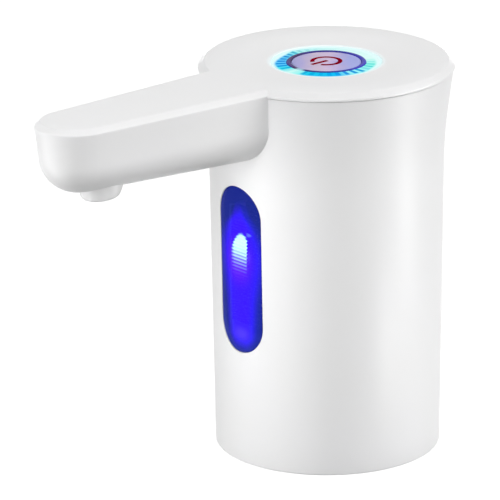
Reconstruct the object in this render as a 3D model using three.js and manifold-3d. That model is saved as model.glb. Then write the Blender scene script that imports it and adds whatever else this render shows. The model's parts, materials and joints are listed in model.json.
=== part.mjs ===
// Bottled water pump: a rechargeable pump that stands on the neck of a large water bottle.
// Millimetres, +Z up. The origin is the centre of the base opening on the axis of the body,
// and the spout arm points along -Y.

import * as THREE from 'three';
import { mergeVertices } from 'three/addons/utils/BufferGeometryUtils.js';
import Module from 'manifold-3d';

const wasm = await Module();
wasm.setup();

// Facets of the rounds
const bodyTurn = 40;
const ringTurn = 30;
const inletTurn = 14;
const partTurn = 20;
const smallTurn = 8;
const wireTurn = 6;
const roundSteps = 3;
const arcSteps = 6;
const cornerSteps = 2;

// Shared clearances
const fit = 0.25;
const press = 0.1;
const cutRun = 2;

// Body
const bodyHeight = 124.9;
const rimRadius = 40.03;
const rimOverhang = 0.35;
const rimFlare = 3.17;
const shoulderDrop = 21.6;
const bodyTaper = 1.32;
const bodyWall = 2.2;
const ledgeWidth = 2.6;
const ledgeThickness = 3.5;

// Spout arm
const armReach = 111.1;
const armTipRadius = 12.34;
const armTipDepth = 19.4;
const armEdgeRadius = 10.49;
const armEdgeLand = 0.6;
const armSpread = THREE.MathUtils.degToRad(2.78);
const armDraftShare = 0.114;
const armFallShare = 0.04;
const armTipSteps = 12;

// Top cover
const coverThickness = 2.2;
const rimEdgeInset = 2.39;
const armEdgeInset = 1.84;
const coverEdgeInsetShares = [0, 0, 0.3, 1];
const coverEdgeHeightShares = [0, 0.14, 0.7, 1];
const dishRadius = 33;
const dishDepth = 0.75;
const lipDepth = 3;
const lipThickness = 1.2;
const lampWallThickness = 1.2;
const lampWallDepth = 6;
const postRadius = 2.4;
const postCircle = 21.9;
const postCount = 3;
const postTurn = THREE.MathUtils.degToRad(90);

// Light ring, bezel and button
const buttonRadius = 10.9;
const buttonThickness = 1.8;
const buttonTravel = 0.5;
const buttonSkirt = 0.9;
const buttonStemRadius = 2.2;
const buttonHookHeight = 1;
const buttonHookReach = 0.8;
const ringStep = 0.1;
const bezelWall = 1.3;
const bezelFlange = 1.7;
const ringRadius = 17.1;
const ringFlange = 1.7;
const ringFlangeThickness = 1.2;

// Control board, its lamps and the switch
const boardRadius = 24.4;
const boardThickness = 1.6;
const boardDrop = 8.8;
const ringLedCount = 4;
const ledWidth = 3.2;
const ledHeight = 1.6;
const switchWidth = 6;
const switchHeight = 3.4;
const plungerRadius = 1.7;
const plungerHeight = 1.1;
const plungerSink = 0.6;

// Window, its light plate and its lamp
const windowWidth = 19.35;
const windowSill = 36.8;
const windowDrop = 9.9;
const windowSink = 0.5;
const windowFlange = 1.6;
const windowFlangeThickness = 1.3;
const windowFrontWall = 1;
const platePitch = 1.1;
const plateRibDepth = 0.5;
const plateEndGap = 8;
const plateDepth = 1.6;
const plateWidth = 14;
const plateFlange = 1;
const plateFlangeThickness = 0.9;
const plateGap = 0.3;
const lampGap = 3.1;
const lampBoardThickness = 1.2;
const lampRise = 9.4;
const lampDomeRadiusShares = [0, 0.8, 0.7, 0.4, 0];
const lampDomeRiseShares = [0, 0, 0.3, 0.6, 0.7];
const railWidth = 2.2;
const railLip = 0.8;

// Bottle-neck socket, floor and collar
const socketDepth = 30;
const floorThickness = 2.5;
const collarWall = 1.6;
const collarRibReach = 2.6;
const collarRibWidth = 3;
const collarRibCount = 12;
const collarFoot = 1.5;

// Inner frame and battery
const framePlate = 2;
const frameBossRadius = 3.2;
const floorScrewInset = 10.16;
const floorScrewCount = 3;
const floorScrewTurn = THREE.MathUtils.degToRad(75);
const batteryHeadroom = 9.3;
const batteryGap = 0.6;
const batteryTurn = THREE.MathUtils.degToRad(49);
const batteryNubRadius = 3.2;
const batteryNubHeight = 0.8;
const batteryEdge = 0.8;
const cradleWall = 1.4;
const cradleHeightShare = 0.8;
const cradleOpening = THREE.MathUtils.degToRad(120);
const tabThickness = 0.3;
const tabWidth = 5;

// Gear pump
const gearSpacingShare = 0.3554;
const toothCount = 12;
const pressureAngle = THREE.MathUtils.degToRad(28);
const toothTipShare = 0.85;
const toothRootShare = 1.15;
const backlash = 0.2;
const chamberDepth = 8;
const gearSideGap = 0.15;
const chamberGap = 0.25;
const pumpWall = 4.4;
const pumpCorner = 3.4;
const pumpCoverThickness = 3;
const pumpTopWall = 4.6;
const gasketThickness = 0.8;
const portRadius = 2.4;
const portShiftShare = 0.4833;
const channelRadius = 1.7;
const channelWall = 0.8;
const outletWall = 1;
const idlerPinRadius = 1.5;
const idlerPinSeat = 1.6;
const sealRadius = 3.5;
const sealThickness = 1.9;

// Motor
const motorRadiusShare = 0.3613;
const motorLengthShare = 0.532;
const motorWall = 1;
const motorBossRadius = 3.1;
const motorBossHeight = 1.2;
const motorShaftRadius = 1;
const motorCollarHeight = 6;
const motorCollarWall = 1.6;
const motorSeatThickness = 2;
const endCapThickness = 2.4;
const endCapPlug = 3;
const rotorGap = 1.3;
const rotorLengthShare = 0.52;
const rotorPoles = 3;
const rotorSlotShare = 0.22;
const rotorHubRadius = 3.4;
const commutatorRadius = 2.6;
const magnetThickness = 2.3;
const magnetLengthShare = 0.68;
const magnetSpan = THREE.MathUtils.degToRad(130);
const terminalWidth = 2.4;
const terminalThickness = 0.5;
const terminalHeight = 4;
const terminalCircle = 7;

// Hose fittings and the spout tube
const barbRadius = 2.6;
const barbBore = 1.7;
const barbLength = 7;
const tubeBore = 2.8;
const tubeRadius = 4.2;
const tubeDrop = 29.65;
const tubeBend = 14;
const tubeReach = 5;
const tubeSteps = 16;
const tubeTurn = 10;
const inletRadius = 4;
const inletBore = 1.9;
const inletDrop = 15;
const inletFlangeRadius = 6.4;
const inletFlangeThickness = 2;
const inletBarbCount = 3;
const inletBarbReach = 0.7;
const oringSection = 0.7;

// Nozzle
const nozzleRadius = 6.2;
const nozzleInset = 21.45;
const nozzleDrop = 3.8;
const nozzleRound = 1.3;
const nozzleBore = 3.2;
const nozzleFlange = 1.2;
const nozzleFlangeThickness = 1.4;
const nozzlePadHeight = 5.2;
const elbowRadius = 5;
const elbowHeight = 11.4;
const elbowBarbRise = 6.6;

// Charging board and socket
const portRise = 12;
const portWidth = 8.94;
const portBodyHeight = 3.26;
const portDepth = 7.35;
const portCornerShare = 0.9;
const portWall = 0.35;
const portSink = 1.6;
const portTongueWidth = 6.7;
const portTongueThickness = 0.7;
const portRecess = 1.6;
const portRecessDepth = 0.8;
const chargeBoardWidth = 17.6;
const chargeBoardDepth = 19;
const chargeBoardEdge = 0.5;
const chargePostRadius = 2;
const chargePinRadius = 0.9;
const chargePinRise = 1.2;

// Screws and wires
const screwShank = 1.2;
const screwHead = 2.3;
const screwCrownShare = 0.6;
const screwHeadHeight = 1.5;
const screwClear = 0.2;
const screwGrip = 6;
const wireRadius = 0.65;
const wirePitch = 4;
const cableCores = 3;
const cableShiftShare = 0.85;
const wireLead = 3;
const wireSpread = 3;

// Outline of the body, worked out from the rim
const seamHeight = bodyHeight - coverThickness;
const shoulderHeight = seamHeight - shoulderDrop;
const shoulderRadius = rimRadius - rimFlare;
const baseRadius = shoulderRadius - bodyTaper;

// Heights worked out from the stack
const floorTop = socketDepth + floorThickness;
const frameBottom = floorTop + ledgeThickness;
const frameTop = frameBottom + framePlate;
const pumpCoverTop = frameTop + pumpCoverThickness;
const chamberBottom = pumpCoverTop + gasketThickness;
const chamberTop = chamberBottom + chamberDepth;
const pumpTop = chamberTop + pumpTopWall;
const boardTop = seamHeight - boardDrop;
const boardBottom = boardTop - boardThickness;
const motorLength = (boardBottom - pumpTop) * motorLengthShare;
const motorBack = pumpTop + motorLength;
const batteryBottom = frameTop + tabThickness + press;
const batteryTop = boardBottom - batteryHeadroom;
const portHeight = frameTop + portRise;
const chargeBoardBottom = portHeight - portBodyHeight / 2 - boardThickness;
const ringTop = bodyHeight - dishDepth - ringStep;
const ringShoulder = seamHeight - press;
const bezelShoulder = ringShoulder - ringFlangeThickness - press;
const hookSeat = bezelShoulder - bezelWall;
const plungerTop = boardTop + switchHeight - plungerSink + plungerHeight;
const windowTop = armFloor(-shoulderRadius) - windowDrop;
const windowCentre = (windowTop + windowSill) / 2;
const plateRibCount = Math.round((windowTop - windowSill - 2 * plateEndGap) / platePitch);
const plateReach = platePitch * plateRibCount / 2;

// Places worked out from the sizes
const roomRadius = innerRadius(floorTop);
const gearDistance = roomRadius * gearSpacingShare;
const gearModule = gearDistance / toothCount;
const motorRadius = roomRadius * motorRadiusShare;
const gearTip = gearDistance / 2 + toothTipShare * gearModule;
const gearRoot = gearDistance / 2 - toothRootShare * gearModule;
const chamberRadius = gearTip + chamberGap;
const motorX = -gearDistance / 2;
const idlerX = gearDistance / 2;
const portShift = gearDistance * portShiftShare;
const pumpY = -portShift;
const pumpHalfLength = gearDistance / 2 + chamberRadius + pumpWall;
const pumpHalfWidth = chamberRadius + pumpWall;
const outletShift = chamberRadius + channelWall + channelRadius;
const outletRun = motorRadius + motorCollarWall + tubeRadius + 3 * fit;
const outletX = motorX + Math.sqrt(outletRun ** 2 - outletShift ** 2);
const outletY = pumpY - outletShift;
const nozzleY = nozzleInset - armReach;
const padTop = armFloor(nozzleY) + nozzlePadHeight;
const tubeHeight = padTop + elbowBarbRise;
const socketRadius = outerRadius(0) - bodyWall;
const cradleReach = innerRadius(frameTop) - cradleWall - 2 * fit;
const cradleFront = pumpY + pumpHalfWidth + batteryGap + cradleWall + fit;
const batteryRadius = (cradleReach * Math.sin(batteryTurn) - cradleFront) / (1 + Math.sin(batteryTurn));
const cellRadius = cradleReach - batteryRadius;
const cellX = cellRadius * Math.cos(batteryTurn);
const cellY = cellRadius * Math.sin(batteryTurn);

// Finishes
const finishes = {
  shell: { color: 0xf2f2f4, roughness: 0.22, metalness: 0 },
  inner: { color: 0xdcdcd8, roughness: 0.5, metalness: 0 },
  window: { color: 0x2018c8, roughness: 0.08, metalness: 0 },
  plate: { color: 0x4a30ff, roughness: 0.3, metalness: 0 },
  ring: { color: 0xbff2ff, roughness: 0.3, metalness: 0 },
  bezel: { color: 0x4a4a90, roughness: 0.25, metalness: 0.6 },
  button: { color: 0xb8b4e0, roughness: 0.3, metalness: 0 },
  board: { color: 0x0f5a34, roughness: 0.5, metalness: 0 },
  part: { color: 0x1c1c1e, roughness: 0.45, metalness: 0 },
  lamp: { color: 0xfff4c0, roughness: 0.3, metalness: 0 },
  steel: { color: 0xc4c6ca, roughness: 0.3, metalness: 1 },
  zinc: { color: 0x9fa3a8, roughness: 0.4, metalness: 1 },
  brass: { color: 0xc9a24a, roughness: 0.35, metalness: 1 },
  ferrite: { color: 0x2b2b2e, roughness: 0.7, metalness: 0 },
  seal: { color: 0x2a2a2c, roughness: 0.8, metalness: 0 },
  silicone: { color: 0xe6e9ec, roughness: 0.45, metalness: 0 },
  gear: { color: 0xeae6d8, roughness: 0.45, metalness: 0 },
  cell: { color: 0x2f7fc4, roughness: 0.35, metalness: 0 },
  red: { color: 0xb01818, roughness: 0.5, metalness: 0 },
  black: { color: 0x18181a, roughness: 0.5, metalness: 0 },
};

const model = new THREE.Group();

// Outer radius of the body at a height: a slow taper, then the flare of the shoulder
function outerRadius(height) {
  const edgeRadius = rimRadius - rimOverhang;
  if (height <= shoulderHeight) {
    return THREE.MathUtils.mapLinear(height, 0, shoulderHeight, baseRadius, shoulderRadius);
  }
  return THREE.MathUtils.mapLinear(height, shoulderHeight, seamHeight, shoulderRadius, edgeRadius);
}

// Inner radius of the body at a height
function innerRadius(height) {
  return outerRadius(height) - bodyWall;
}

// Closed solid of a geometry whose shared corners are merged
function solidOf(geometry) {
  const bare = geometry.clone();
  bare.deleteAttribute('normal');
  bare.deleteAttribute('uv');
  const merged = mergeVertices(bare);
  const corners = merged.index.array;
  const kept = [];
  for (let i = 0; i < corners.length; i += 3) {
    const [a, b, c] = [corners[i], corners[i + 1], corners[i + 2]];
    if (a !== b && b !== c && c !== a) {
      kept.push(a, b, c);
    }
  }
  return new wasm.Manifold(new wasm.Mesh({
    numProp: 3,
    vertProperties: new Float32Array(merged.attributes.position.array),
    triVerts: new Uint32Array(kept),
  }));
}

// Geometry of a finished solid
function geometryOf(solid) {
  const mesh = solid.getMesh();
  const geometry = new THREE.BufferGeometry();
  geometry.setAttribute('position', new THREE.BufferAttribute(new Float32Array(mesh.vertProperties), 3));
  geometry.setIndex(new THREE.BufferAttribute(new Uint32Array(mesh.triVerts), 1));
  geometry.computeVertexNormals();
  return geometry;
}

// Add one named piece to the model
function addPiece(name, solid, finish, parent = model) {
  const mesh = new THREE.Mesh(geometryOf(solid), new THREE.MeshStandardMaterial(finishes[finish]));
  mesh.name = name;
  parent.add(mesh);
  return mesh;
}

// Join a list of solids
function join(solids) {
  return solids.reduce((whole, next) => whole.add(next));
}

// Revolve a closed outline of [radius, height] pairs about the Z axis
function revolve(outline, sides = partTurn) {
  const points = outline.map(([radius, height]) => new THREE.Vector2(radius, height));
  if (THREE.ShapeUtils.area(points) < 0) {
    points.reverse();
  }
  points.push(points[0].clone());
  const geometry = new THREE.LatheGeometry(points, sides);
  geometry.rotateX(Math.PI / 2);
  return solidOf(geometry);
}

// Solid disc between two heights
function disc(radius, low, high, sides = partTurn) {
  return revolve([[0, low], [radius, low], [radius, high], [0, high]], sides);
}

// Ring between two radii and two heights
function ring(inner, outer, low, high, sides = partTurn) {
  return revolve([[inner, low], [outer, low], [outer, high], [inner, high]], sides);
}

// Block between two corners
function block(low, high) {
  const size = high.clone().sub(low);
  const geometry = new THREE.BoxGeometry(size.x, size.y, size.z);
  const middle = low.clone().add(high).multiplyScalar(1 / 2);
  geometry.translate(middle.x, middle.y, middle.z);
  return solidOf(geometry);
}

// Block from centre and half sizes in plan, and two heights
function slab(x, y, halfX, halfY, low, high) {
  return block(new THREE.Vector3(x - halfX, y - halfY, low), new THREE.Vector3(x + halfX, y + halfY, high));
}

// Upright prism of a plan outline
function prism(shape, low, high, curveSegments = cornerSteps) {
  const geometry = new THREE.ExtrudeGeometry(shape, {
    depth: high - low,
    bevelEnabled: false,
    curveSegments,
  });
  geometry.translate(0, 0, low);
  return solidOf(geometry);
}

// Round rod between two points
function rod(from, to, radius, sides = smallTurn) {
  const axis = to.clone().sub(from);
  const geometry = new THREE.CylinderGeometry(radius, radius, axis.length(), sides);
  const middle = from.clone().add(to).multiplyScalar(1 / 2);
  const up = new THREE.Vector3(0, 1, 0);
  const turn = new THREE.Quaternion().setFromUnitVectors(up, axis.normalize());
  geometry.applyQuaternion(turn);
  geometry.translate(middle.x, middle.y, middle.z);
  return solidOf(geometry);
}

// Rounded rectangle about a centre
function roundedRect(x, y, halfX, halfY, corner) {
  const shape = new THREE.Shape();
  shape.absarc(x + halfX - corner, y - halfY + corner, corner, -Math.PI / 2, 0, false);
  shape.absarc(x + halfX - corner, y + halfY - corner, corner, 0, Math.PI / 2, false);
  shape.absarc(x - halfX + corner, y + halfY - corner, corner, Math.PI / 2, Math.PI, false);
  shape.absarc(x - halfX + corner, y - halfY + corner, corner, Math.PI, Math.PI * 3 / 2, false);
  return shape;
}

// Part of a ring in plan between two angles
function arcShape(inner, outer, from, to) {
  const shape = new THREE.Shape();
  shape.absarc(0, 0, outer, from, to, false);
  shape.absarc(0, 0, inner, to, from, true);
  return shape;
}

// Places on a circle about the body's axis
function circlePlaces(radius, count, turn) {
  const places = [];
  for (let i = 0; i < count; i += 1) {
    const angle = turn + i * 2 * Math.PI / count;
    places.push(new THREE.Vector2(radius * Math.cos(angle), radius * Math.sin(angle)));
  }
  return places;
}

// Loft through rings of equal count, closed with a flat fan at each end
function loft(rings) {
  const count = rings[0].length;
  const corners = rings.flat().flatMap((point) => [point.x, point.y, point.z]);
  const faces = [];
  for (let level = 0; level + 1 < rings.length; level += 1) {
    for (let i = 0; i < count; i += 1) {
      const next = (i + 1) % count;
      const [a, b] = [level * count + i, level * count + next];
      faces.push(a, b, b + count, a, b + count, a + count);
    }
  }
  const last = (rings.length - 1) * count;
  for (let i = 1; i + 1 < count; i += 1) {
    faces.push(0, i + 1, i);
    faces.push(last, last + i, last + i + 1);
  }
  const geometry = new THREE.BufferGeometry();
  geometry.setAttribute('position', new THREE.Float32BufferAttribute(corners, 3));
  geometry.setIndex(faces);
  return solidOf(geometry);
}

// Plan outline of the arm, drawn in by an inset: two spreading sides and a round tip
function armOutline(inset) {
  const radius = armTipRadius - inset;
  const centreY = armTipRadius - armReach;
  const tangentX = radius * Math.cos(armSpread);
  const tangentY = centreY - radius * Math.sin(armSpread);
  const rootX = tangentX - tangentY * Math.tan(armSpread);
  const points = [new THREE.Vector2(-rootX, 0)];
  for (let i = 0; i <= armTipSteps; i += 1) {
    const angle = Math.PI + armSpread + (Math.PI - 2 * armSpread) * i / armTipSteps;
    points.push(new THREE.Vector2(radius * Math.cos(angle), centreY + radius * Math.sin(angle)));
  }
  points.push(new THREE.Vector2(rootX, 0));
  return points;
}

// One level of the arm, with a height that may follow the distance along it
function armLevel(inset, heightAt) {
  return armOutline(inset).map((point) => new THREE.Vector3(point.x, point.y, heightAt(point.y)));
}

// Underside of the arm at a distance along it, lowest at the body
function armFloor(y) {
  return seamHeight - armTipDepth - armFallShare * (y + armReach);
}

// Trough of the arm below the seam: drafted sides and a large round along the underside
function armTrough(wall, top) {
  const sideInset = armDraftShare * (armTipDepth - armEdgeRadius);
  const widestRound = armTipRadius - sideInset - armEdgeLand;
  const round = Math.min(armEdgeRadius, widestRound) - wall;
  const levels = [];
  for (let i = 0; i <= 2 * roundSteps; i += 1) {
    const angle = Math.PI / 2 * (1 - i / (2 * roundSteps));
    const inset = wall + sideInset + round * (1 - Math.cos(angle));
    const rise = wall + round * (1 - Math.sin(angle));
    levels.push(armLevel(inset, (y) => armFloor(y) + rise));
  }
  levels.push(armLevel(wall, () => top));
  return loft(levels);
}

// Body of revolution that follows the outer wall, drawn in by an inset
function bodyRound(inset, low, high) {
  const outline = [[0, low], [outerRadius(low) - inset, low]];
  if (low < shoulderHeight && shoulderHeight < high) {
    outline.push([outerRadius(shoulderHeight) - inset, shoulderHeight]);
  }
  outline.push([outerRadius(high) - inset, high], [0, high]);
  return revolve(outline, bodyTurn);
}

// Round-ended window outline as a prism that runs forward from the axis of the body
function windowPrism(grow) {
  const radius = windowWidth / 2 + grow;
  const straight = (windowTop - windowSill - windowWidth) / 2;
  const shape = new THREE.Shape();
  shape.absarc(0, windowCentre + straight, radius, 0, Math.PI, false);
  shape.absarc(0, windowCentre - straight, radius, Math.PI, 2 * Math.PI, false);
  const geometry = new THREE.ExtrudeGeometry(shape, {
    depth: rimRadius,
    bevelEnabled: false,
    curveSegments: arcSteps,
  });
  geometry.rotateX(Math.PI / 2);
  return solidOf(geometry);
}

// Opening for the charging socket, drawn along Y from a depth outwards
function portPrism(grow, from, to, wall = 0) {
  const halfX = portWidth / 2 + grow - wall;
  const halfZ = portBodyHeight / 2 + grow - wall;
  const shape = roundedRect(0, portHeight, halfX, halfZ, halfZ * portCornerShare);
  const geometry = new THREE.ExtrudeGeometry(shape, {
    depth: to - from,
    bevelEnabled: false,
    curveSegments: cornerSteps,
  });
  geometry.rotateX(Math.PI / 2);
  geometry.translate(0, to, 0);
  return solidOf(geometry);
}

// Hollow of the body and the arm, less the ledge that the floor seats against
function shellHollow() {
  const top = seamHeight + cutRun;
  const ledge = ring(
    innerRadius(floorTop) - ledgeWidth, outerRadius(floorTop), floorTop, frameBottom, bodyTurn,
  );
  return bodyRound(bodyWall, -cutRun, top).add(armTrough(bodyWall, top)).subtract(ledge);
}

// Body with its shoulder, arm trough, floor ledge, window and socket openings
function bodyShell() {
  const outer = bodyRound(0, 0, seamHeight).add(armTrough(0, seamHeight));
  const pad = disc(nozzleRadius + nozzleFlange, armFloor(nozzleY) + bodyWall / 2, padTop)
    .translate([0, nozzleY, 0])
    .intersect(armTrough(bodyWall / 2, seamHeight));
  const nozzleHole = disc(nozzleRadius + press, armFloor(nozzleY) - cutRun, padTop + cutRun)
    .translate([0, nozzleY, 0]);
  const rebate = windowPrism(windowFlange + fit).intersect(bodyRound(windowFrontWall, floorTop, seamHeight));
  const rear = outerRadius(portHeight);
  return outer
    .subtract(shellHollow())
    .add(pad)
    .subtract(nozzleHole)
    .subtract(windowPrism(0))
    .subtract(rebate)
    .subtract(portPrism(fit, rear - bodyWall - cutRun, rear + cutRun))
    .subtract(portPrism(portRecess, rear - portRecessDepth, rear + cutRun));
}

// Keyhole plate with the rounded edge band of the cover
function coverPlate() {
  const roundOutline = [[0, seamHeight]];
  const armLevels = [];
  coverEdgeInsetShares.forEach((insetShare, i) => {
    const height = seamHeight + coverEdgeHeightShares[i] * coverThickness;
    roundOutline.push([rimRadius - insetShare * rimEdgeInset, height]);
    armLevels.push(armLevel(insetShare * armEdgeInset, () => height));
  });
  roundOutline.push([0, bodyHeight]);
  return revolve(roundOutline, bodyTurn).add(loft(armLevels));
}

// Keyhole plug that fits inside the shell with a gap, used for the locating lip
function coverPlug(inset) {
  const low = seamHeight - lipDepth;
  const armInset = inset + armDraftShare * lipDepth;
  const arm = loft([armLevel(armInset, () => low), armLevel(armInset, () => seamHeight)]);
  return disc(outerRadius(low) - inset, low, seamHeight, bodyTurn).add(arm);
}

// Room of the shallow dish that leads down to the light ring
function coverDish() {
  return revolve([
    [0, bodyHeight - dishDepth],
    [ringRadius + fit, bodyHeight - dishDepth],
    [dishRadius, bodyHeight],
    [dishRadius, bodyHeight + cutRun],
    [0, bodyHeight + cutRun],
  ], bodyTurn);
}

// Cover with its dish, locating lip, lamp wall and board posts
function topCover() {
  const lip = coverPlug(bodyWall + fit).subtract(coverPlug(bodyWall + fit + lipThickness));
  const lampWallRadius = ringRadius + ringFlange + fit;
  const lampWall = ring(
    lampWallRadius, lampWallRadius + lampWallThickness, seamHeight - lampWallDepth, seamHeight + press,
  );
  const opening = disc(ringRadius + fit, seamHeight - cutRun, bodyHeight + cutRun, ringTurn);
  const posts = circlePlaces(postCircle, postCount, postTurn).map((place) => (
    disc(postRadius, boardTop, seamHeight + press, smallTurn)
      .subtract(disc(screwShank, boardTop - cutRun, boardTop + screwGrip, smallTurn))
      .translate([place.x, place.y, 0])
  ));
  const body = coverPlate().subtract(coverDish()).subtract(opening).add(lip).add(lampWall);
  return body.add(join(posts));
}

// Light ring: a clear pad flush in the recess and a flange that the cover holds down
function lightRing() {
  const inner = buttonRadius + fit + bezelWall + press;
  return revolve([
    [inner, ringShoulder - ringFlangeThickness],
    [ringRadius + ringFlange, ringShoulder - ringFlangeThickness],
    [ringRadius + ringFlange, ringShoulder],
    [ringRadius, ringShoulder],
    [ringRadius, ringTop],
    [inner, ringTop],
  ], ringTurn);
}

// Bezel: guide of the button, standing on the board, with a shoulder under the light ring
function buttonBezel() {
  const guide = buttonRadius + fit;
  const bell = guide + buttonHookReach + press;
  return revolve([
    [bell, boardTop],
    [guide + bezelWall + bezelFlange, boardTop],
    [guide + bezelWall + bezelFlange, bezelShoulder],
    [guide + bezelWall, bezelShoulder],
    [guide + bezelWall, ringTop],
    [guide, ringTop],
    [guide, hookSeat],
    [bell, hookSeat],
  ]);
}

// Button: cap with a skirt, a hook rim caught under the bezel and a stem over the switch
function buttonCap() {
  const hookTop = hookSeat - press;
  const hookBottom = hookTop - buttonHookHeight;
  const stemBottom = plungerTop + press;
  return revolve([
    [0, stemBottom],
    [buttonStemRadius, stemBottom],
    [buttonStemRadius, ringTop - buttonThickness],
    [buttonRadius - buttonSkirt, ringTop - buttonThickness],
    [buttonRadius - buttonSkirt, hookBottom],
    [buttonRadius + buttonHookReach, hookBottom],
    [buttonRadius + buttonHookReach, hookTop],
    [buttonRadius, hookTop],
    [buttonRadius, ringTop],
    [0, ringTop],
  ]);
}

// Tactile switch: a square body with the bore of its plunger
function switchBody() {
  const height = boardTop + switchHeight;
  const bore = disc(plungerRadius + press, height - plungerSink - buttonTravel, height + cutRun, smallTurn);
  return slab(0, 0, switchWidth / 2, switchWidth / 2, boardTop, height).subtract(bore);
}

// Plunger of the switch, standing above its body by the travel and more
function switchPlunger() {
  const low = plungerTop - plungerHeight + press;
  return disc(plungerRadius, low, plungerTop, smallTurn);
}

// Round control board with its screw holes
function controlBoard() {
  const holes = circlePlaces(postCircle, postCount, postTurn).map((place) => (
    disc(screwShank + screwClear, boardBottom - cutRun, boardTop + cutRun, smallTurn)
      .translate([place.x, place.y, 0])
  ));
  return disc(boardRadius, boardBottom, boardTop, bodyTurn).subtract(join(holes));
}

// Pan-head screw pointing up, its head resting below a seat
function screw(seat, grip) {
  return revolve([
    [0, seat - screwHeadHeight],
    [screwHead * screwCrownShare, seat - screwHeadHeight],
    [screwHead, seat - screwHeadHeight / 2],
    [screwHead, seat],
    [screwShank - press, seat],
    [screwShank - press, seat + grip - screwShank],
    [0, seat + grip],
  ], smallTurn);
}

// Lens: a pad in the window, sunk below the body's surface, with a flange behind it
function windowLens() {
  const pad = windowPrism(-fit)
    .intersect(bodyRound(windowSink, floorTop, seamHeight).subtract(bodyRound(bodyWall, 0, seamHeight)));
  const front = bodyRound(windowFrontWall + press, floorTop, seamHeight);
  const back = bodyRound(windowFrontWall + press + windowFlangeThickness, 0, seamHeight);
  const flange = windowPrism(windowFlange).intersect(front.subtract(back));
  return pad.add(flange);
}

// Front of the ribs of the light plate, a gap behind the curved back of the lens
function plateFront() {
  const lensBack = outerRadius(windowCentre) - windowFrontWall - press - windowFlangeThickness;
  return plateGap - Math.sqrt(lensBack ** 2 - (plateWidth / 2) ** 2);
}

// Front of the flange that the rails hold
function plateFlangeFront() {
  return plateFront() + plateRibDepth + plateDepth;
}

// Front face of the lamp board
function lampBoardFront() {
  return plateFlangeFront() + plateFlangeThickness + lampGap;
}

// Ribbed light plate: triangular ribs across its front, and a flange on both sides at its back
function windowLightPlate() {
  const root = plateFront() + plateRibDepth;
  const back = plateFlangeFront() + plateFlangeThickness;
  const low = windowCentre - plateReach;
  const shape = new THREE.Shape();
  shape.moveTo(back, low);
  shape.lineTo(back, low + platePitch * plateRibCount);
  for (let i = plateRibCount; i > 0; i -= 1) {
    shape.lineTo(root, low + platePitch * i);
    shape.lineTo(root - plateRibDepth, low + platePitch * (i - 1 / 2));
  }
  shape.lineTo(root, low);
  const geometry = new THREE.ExtrudeGeometry(shape, { depth: plateWidth, bevelEnabled: false });
  geometry.rotateX(Math.PI / 2);
  geometry.rotateZ(Math.PI / 2);
  geometry.translate(-plateWidth / 2, 0, 0);
  const half = plateWidth / 2 + plateFlange;
  return solidOf(geometry).add(block(
    new THREE.Vector3(-half, plateFlangeFront(), low),
    new THREE.Vector3(half, back, low + platePitch * plateRibCount),
  ));
}

// Upright board of the window lamp
function windowLedBoard() {
  const half = plateWidth / 2 + plateFlange;
  return block(
    new THREE.Vector3(-half, lampBoardFront(), windowCentre - plateReach),
    new THREE.Vector3(half, lampBoardFront() + lampBoardThickness, windowCentre + plateReach),
  );
}

// Lamp on the front of its board: a square package with a domed lens
function windowLed() {
  const half = ledWidth / 2;
  const height = windowCentre + lampRise;
  const body = block(
    new THREE.Vector3(-half, lampBoardFront() - ledHeight, height - half),
    new THREE.Vector3(half, lampBoardFront(), height + half),
  );
  const outline = lampDomeRadiusShares.map((share, i) => [half * share, half * lampDomeRiseShares[i]]);
  const dome = revolve(outline, smallTurn)
    .rotate([90, 0, 0])
    .translate([0, lampBoardFront() - ledHeight + press, height]);
  return body.add(dome);
}

// Grooved rails of the inner frame that hold the light plate and the lamp board
function windowRails() {
  const flangeFront = plateFlangeFront();
  const inner = plateWidth / 2 + press;
  const outer = inner + railWidth;
  const front = flangeFront - press - railLip;
  const rear = lampBoardFront() + lampBoardThickness + press + railLip;
  const rails = [-1, 1].map((side) => (
    slab(side * (inner + outer) / 2, (front + rear) / 2, (outer - inner) / 2, (rear - front) / 2,
      frameTop - press, windowCentre + plateReach)
  ));
  const half = plateWidth / 2 + plateFlange + press;
  const low = windowCentre - plateReach - press;
  const high = windowCentre + plateReach + cutRun;
  const slot = (from, to) => block(new THREE.Vector3(-half, from, low), new THREE.Vector3(half, to, high));
  return join(rails)
    .subtract(slot(flangeFront - press, flangeFront + plateFlangeThickness + press))
    .subtract(slot(lampBoardFront() - press, lampBoardFront() + lampBoardThickness + press));
}

// Places of the screws that hold the pump to the frame, in plan
function pumpScrewPlaces() {
  const cornerX = pumpHalfLength - pumpCorner;
  const cornerY = pumpHalfWidth - pumpCorner;
  return [
    new THREE.Vector2(-cornerX, pumpY - cornerY),
    new THREE.Vector2(-cornerX, pumpY + cornerY),
    new THREE.Vector2(cornerX, pumpY + cornerY),
    new THREE.Vector2(pumpHalfLength - screwHead, pumpY),
  ];
}

// Plan block of the pump: a rounded rectangle, thicker in front of the outlet, with the lobe of its riser
function pumpBlock(low, high) {
  const middle = pumpY - outletWall / 2;
  const shape = roundedRect(0, middle, pumpHalfLength, pumpHalfWidth + outletWall / 2, pumpCorner);
  const lobe = disc(tubeRadius + press, low, high, partTurn).translate([outletX, outletY, 0]);
  return prism(shape, low, high).add(lobe);
}

// Room of the two gears with the pockets of inlet and outlet
function gearRoom(low, high) {
  const inlet = disc(portRadius, low, high, smallTurn).translate([0, pumpY + portShift, 0]);
  const outlet = disc(channelRadius, low, high, smallTurn).translate([0, outletY, 0]);
  const inletSlot = slab(0, pumpY + portShift / 2, portRadius, portShift / 2, low, high);
  const outletSlot = slab(0, (outletY + pumpY) / 2, channelRadius, (pumpY - outletY) / 2, low, high);
  return join([
    disc(chamberRadius, low, high).translate([motorX, pumpY, 0]),
    disc(chamberRadius, low, high).translate([idlerX, pumpY, 0]),
    inlet, outlet, inletSlot, outletSlot,
  ]);
}

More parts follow.
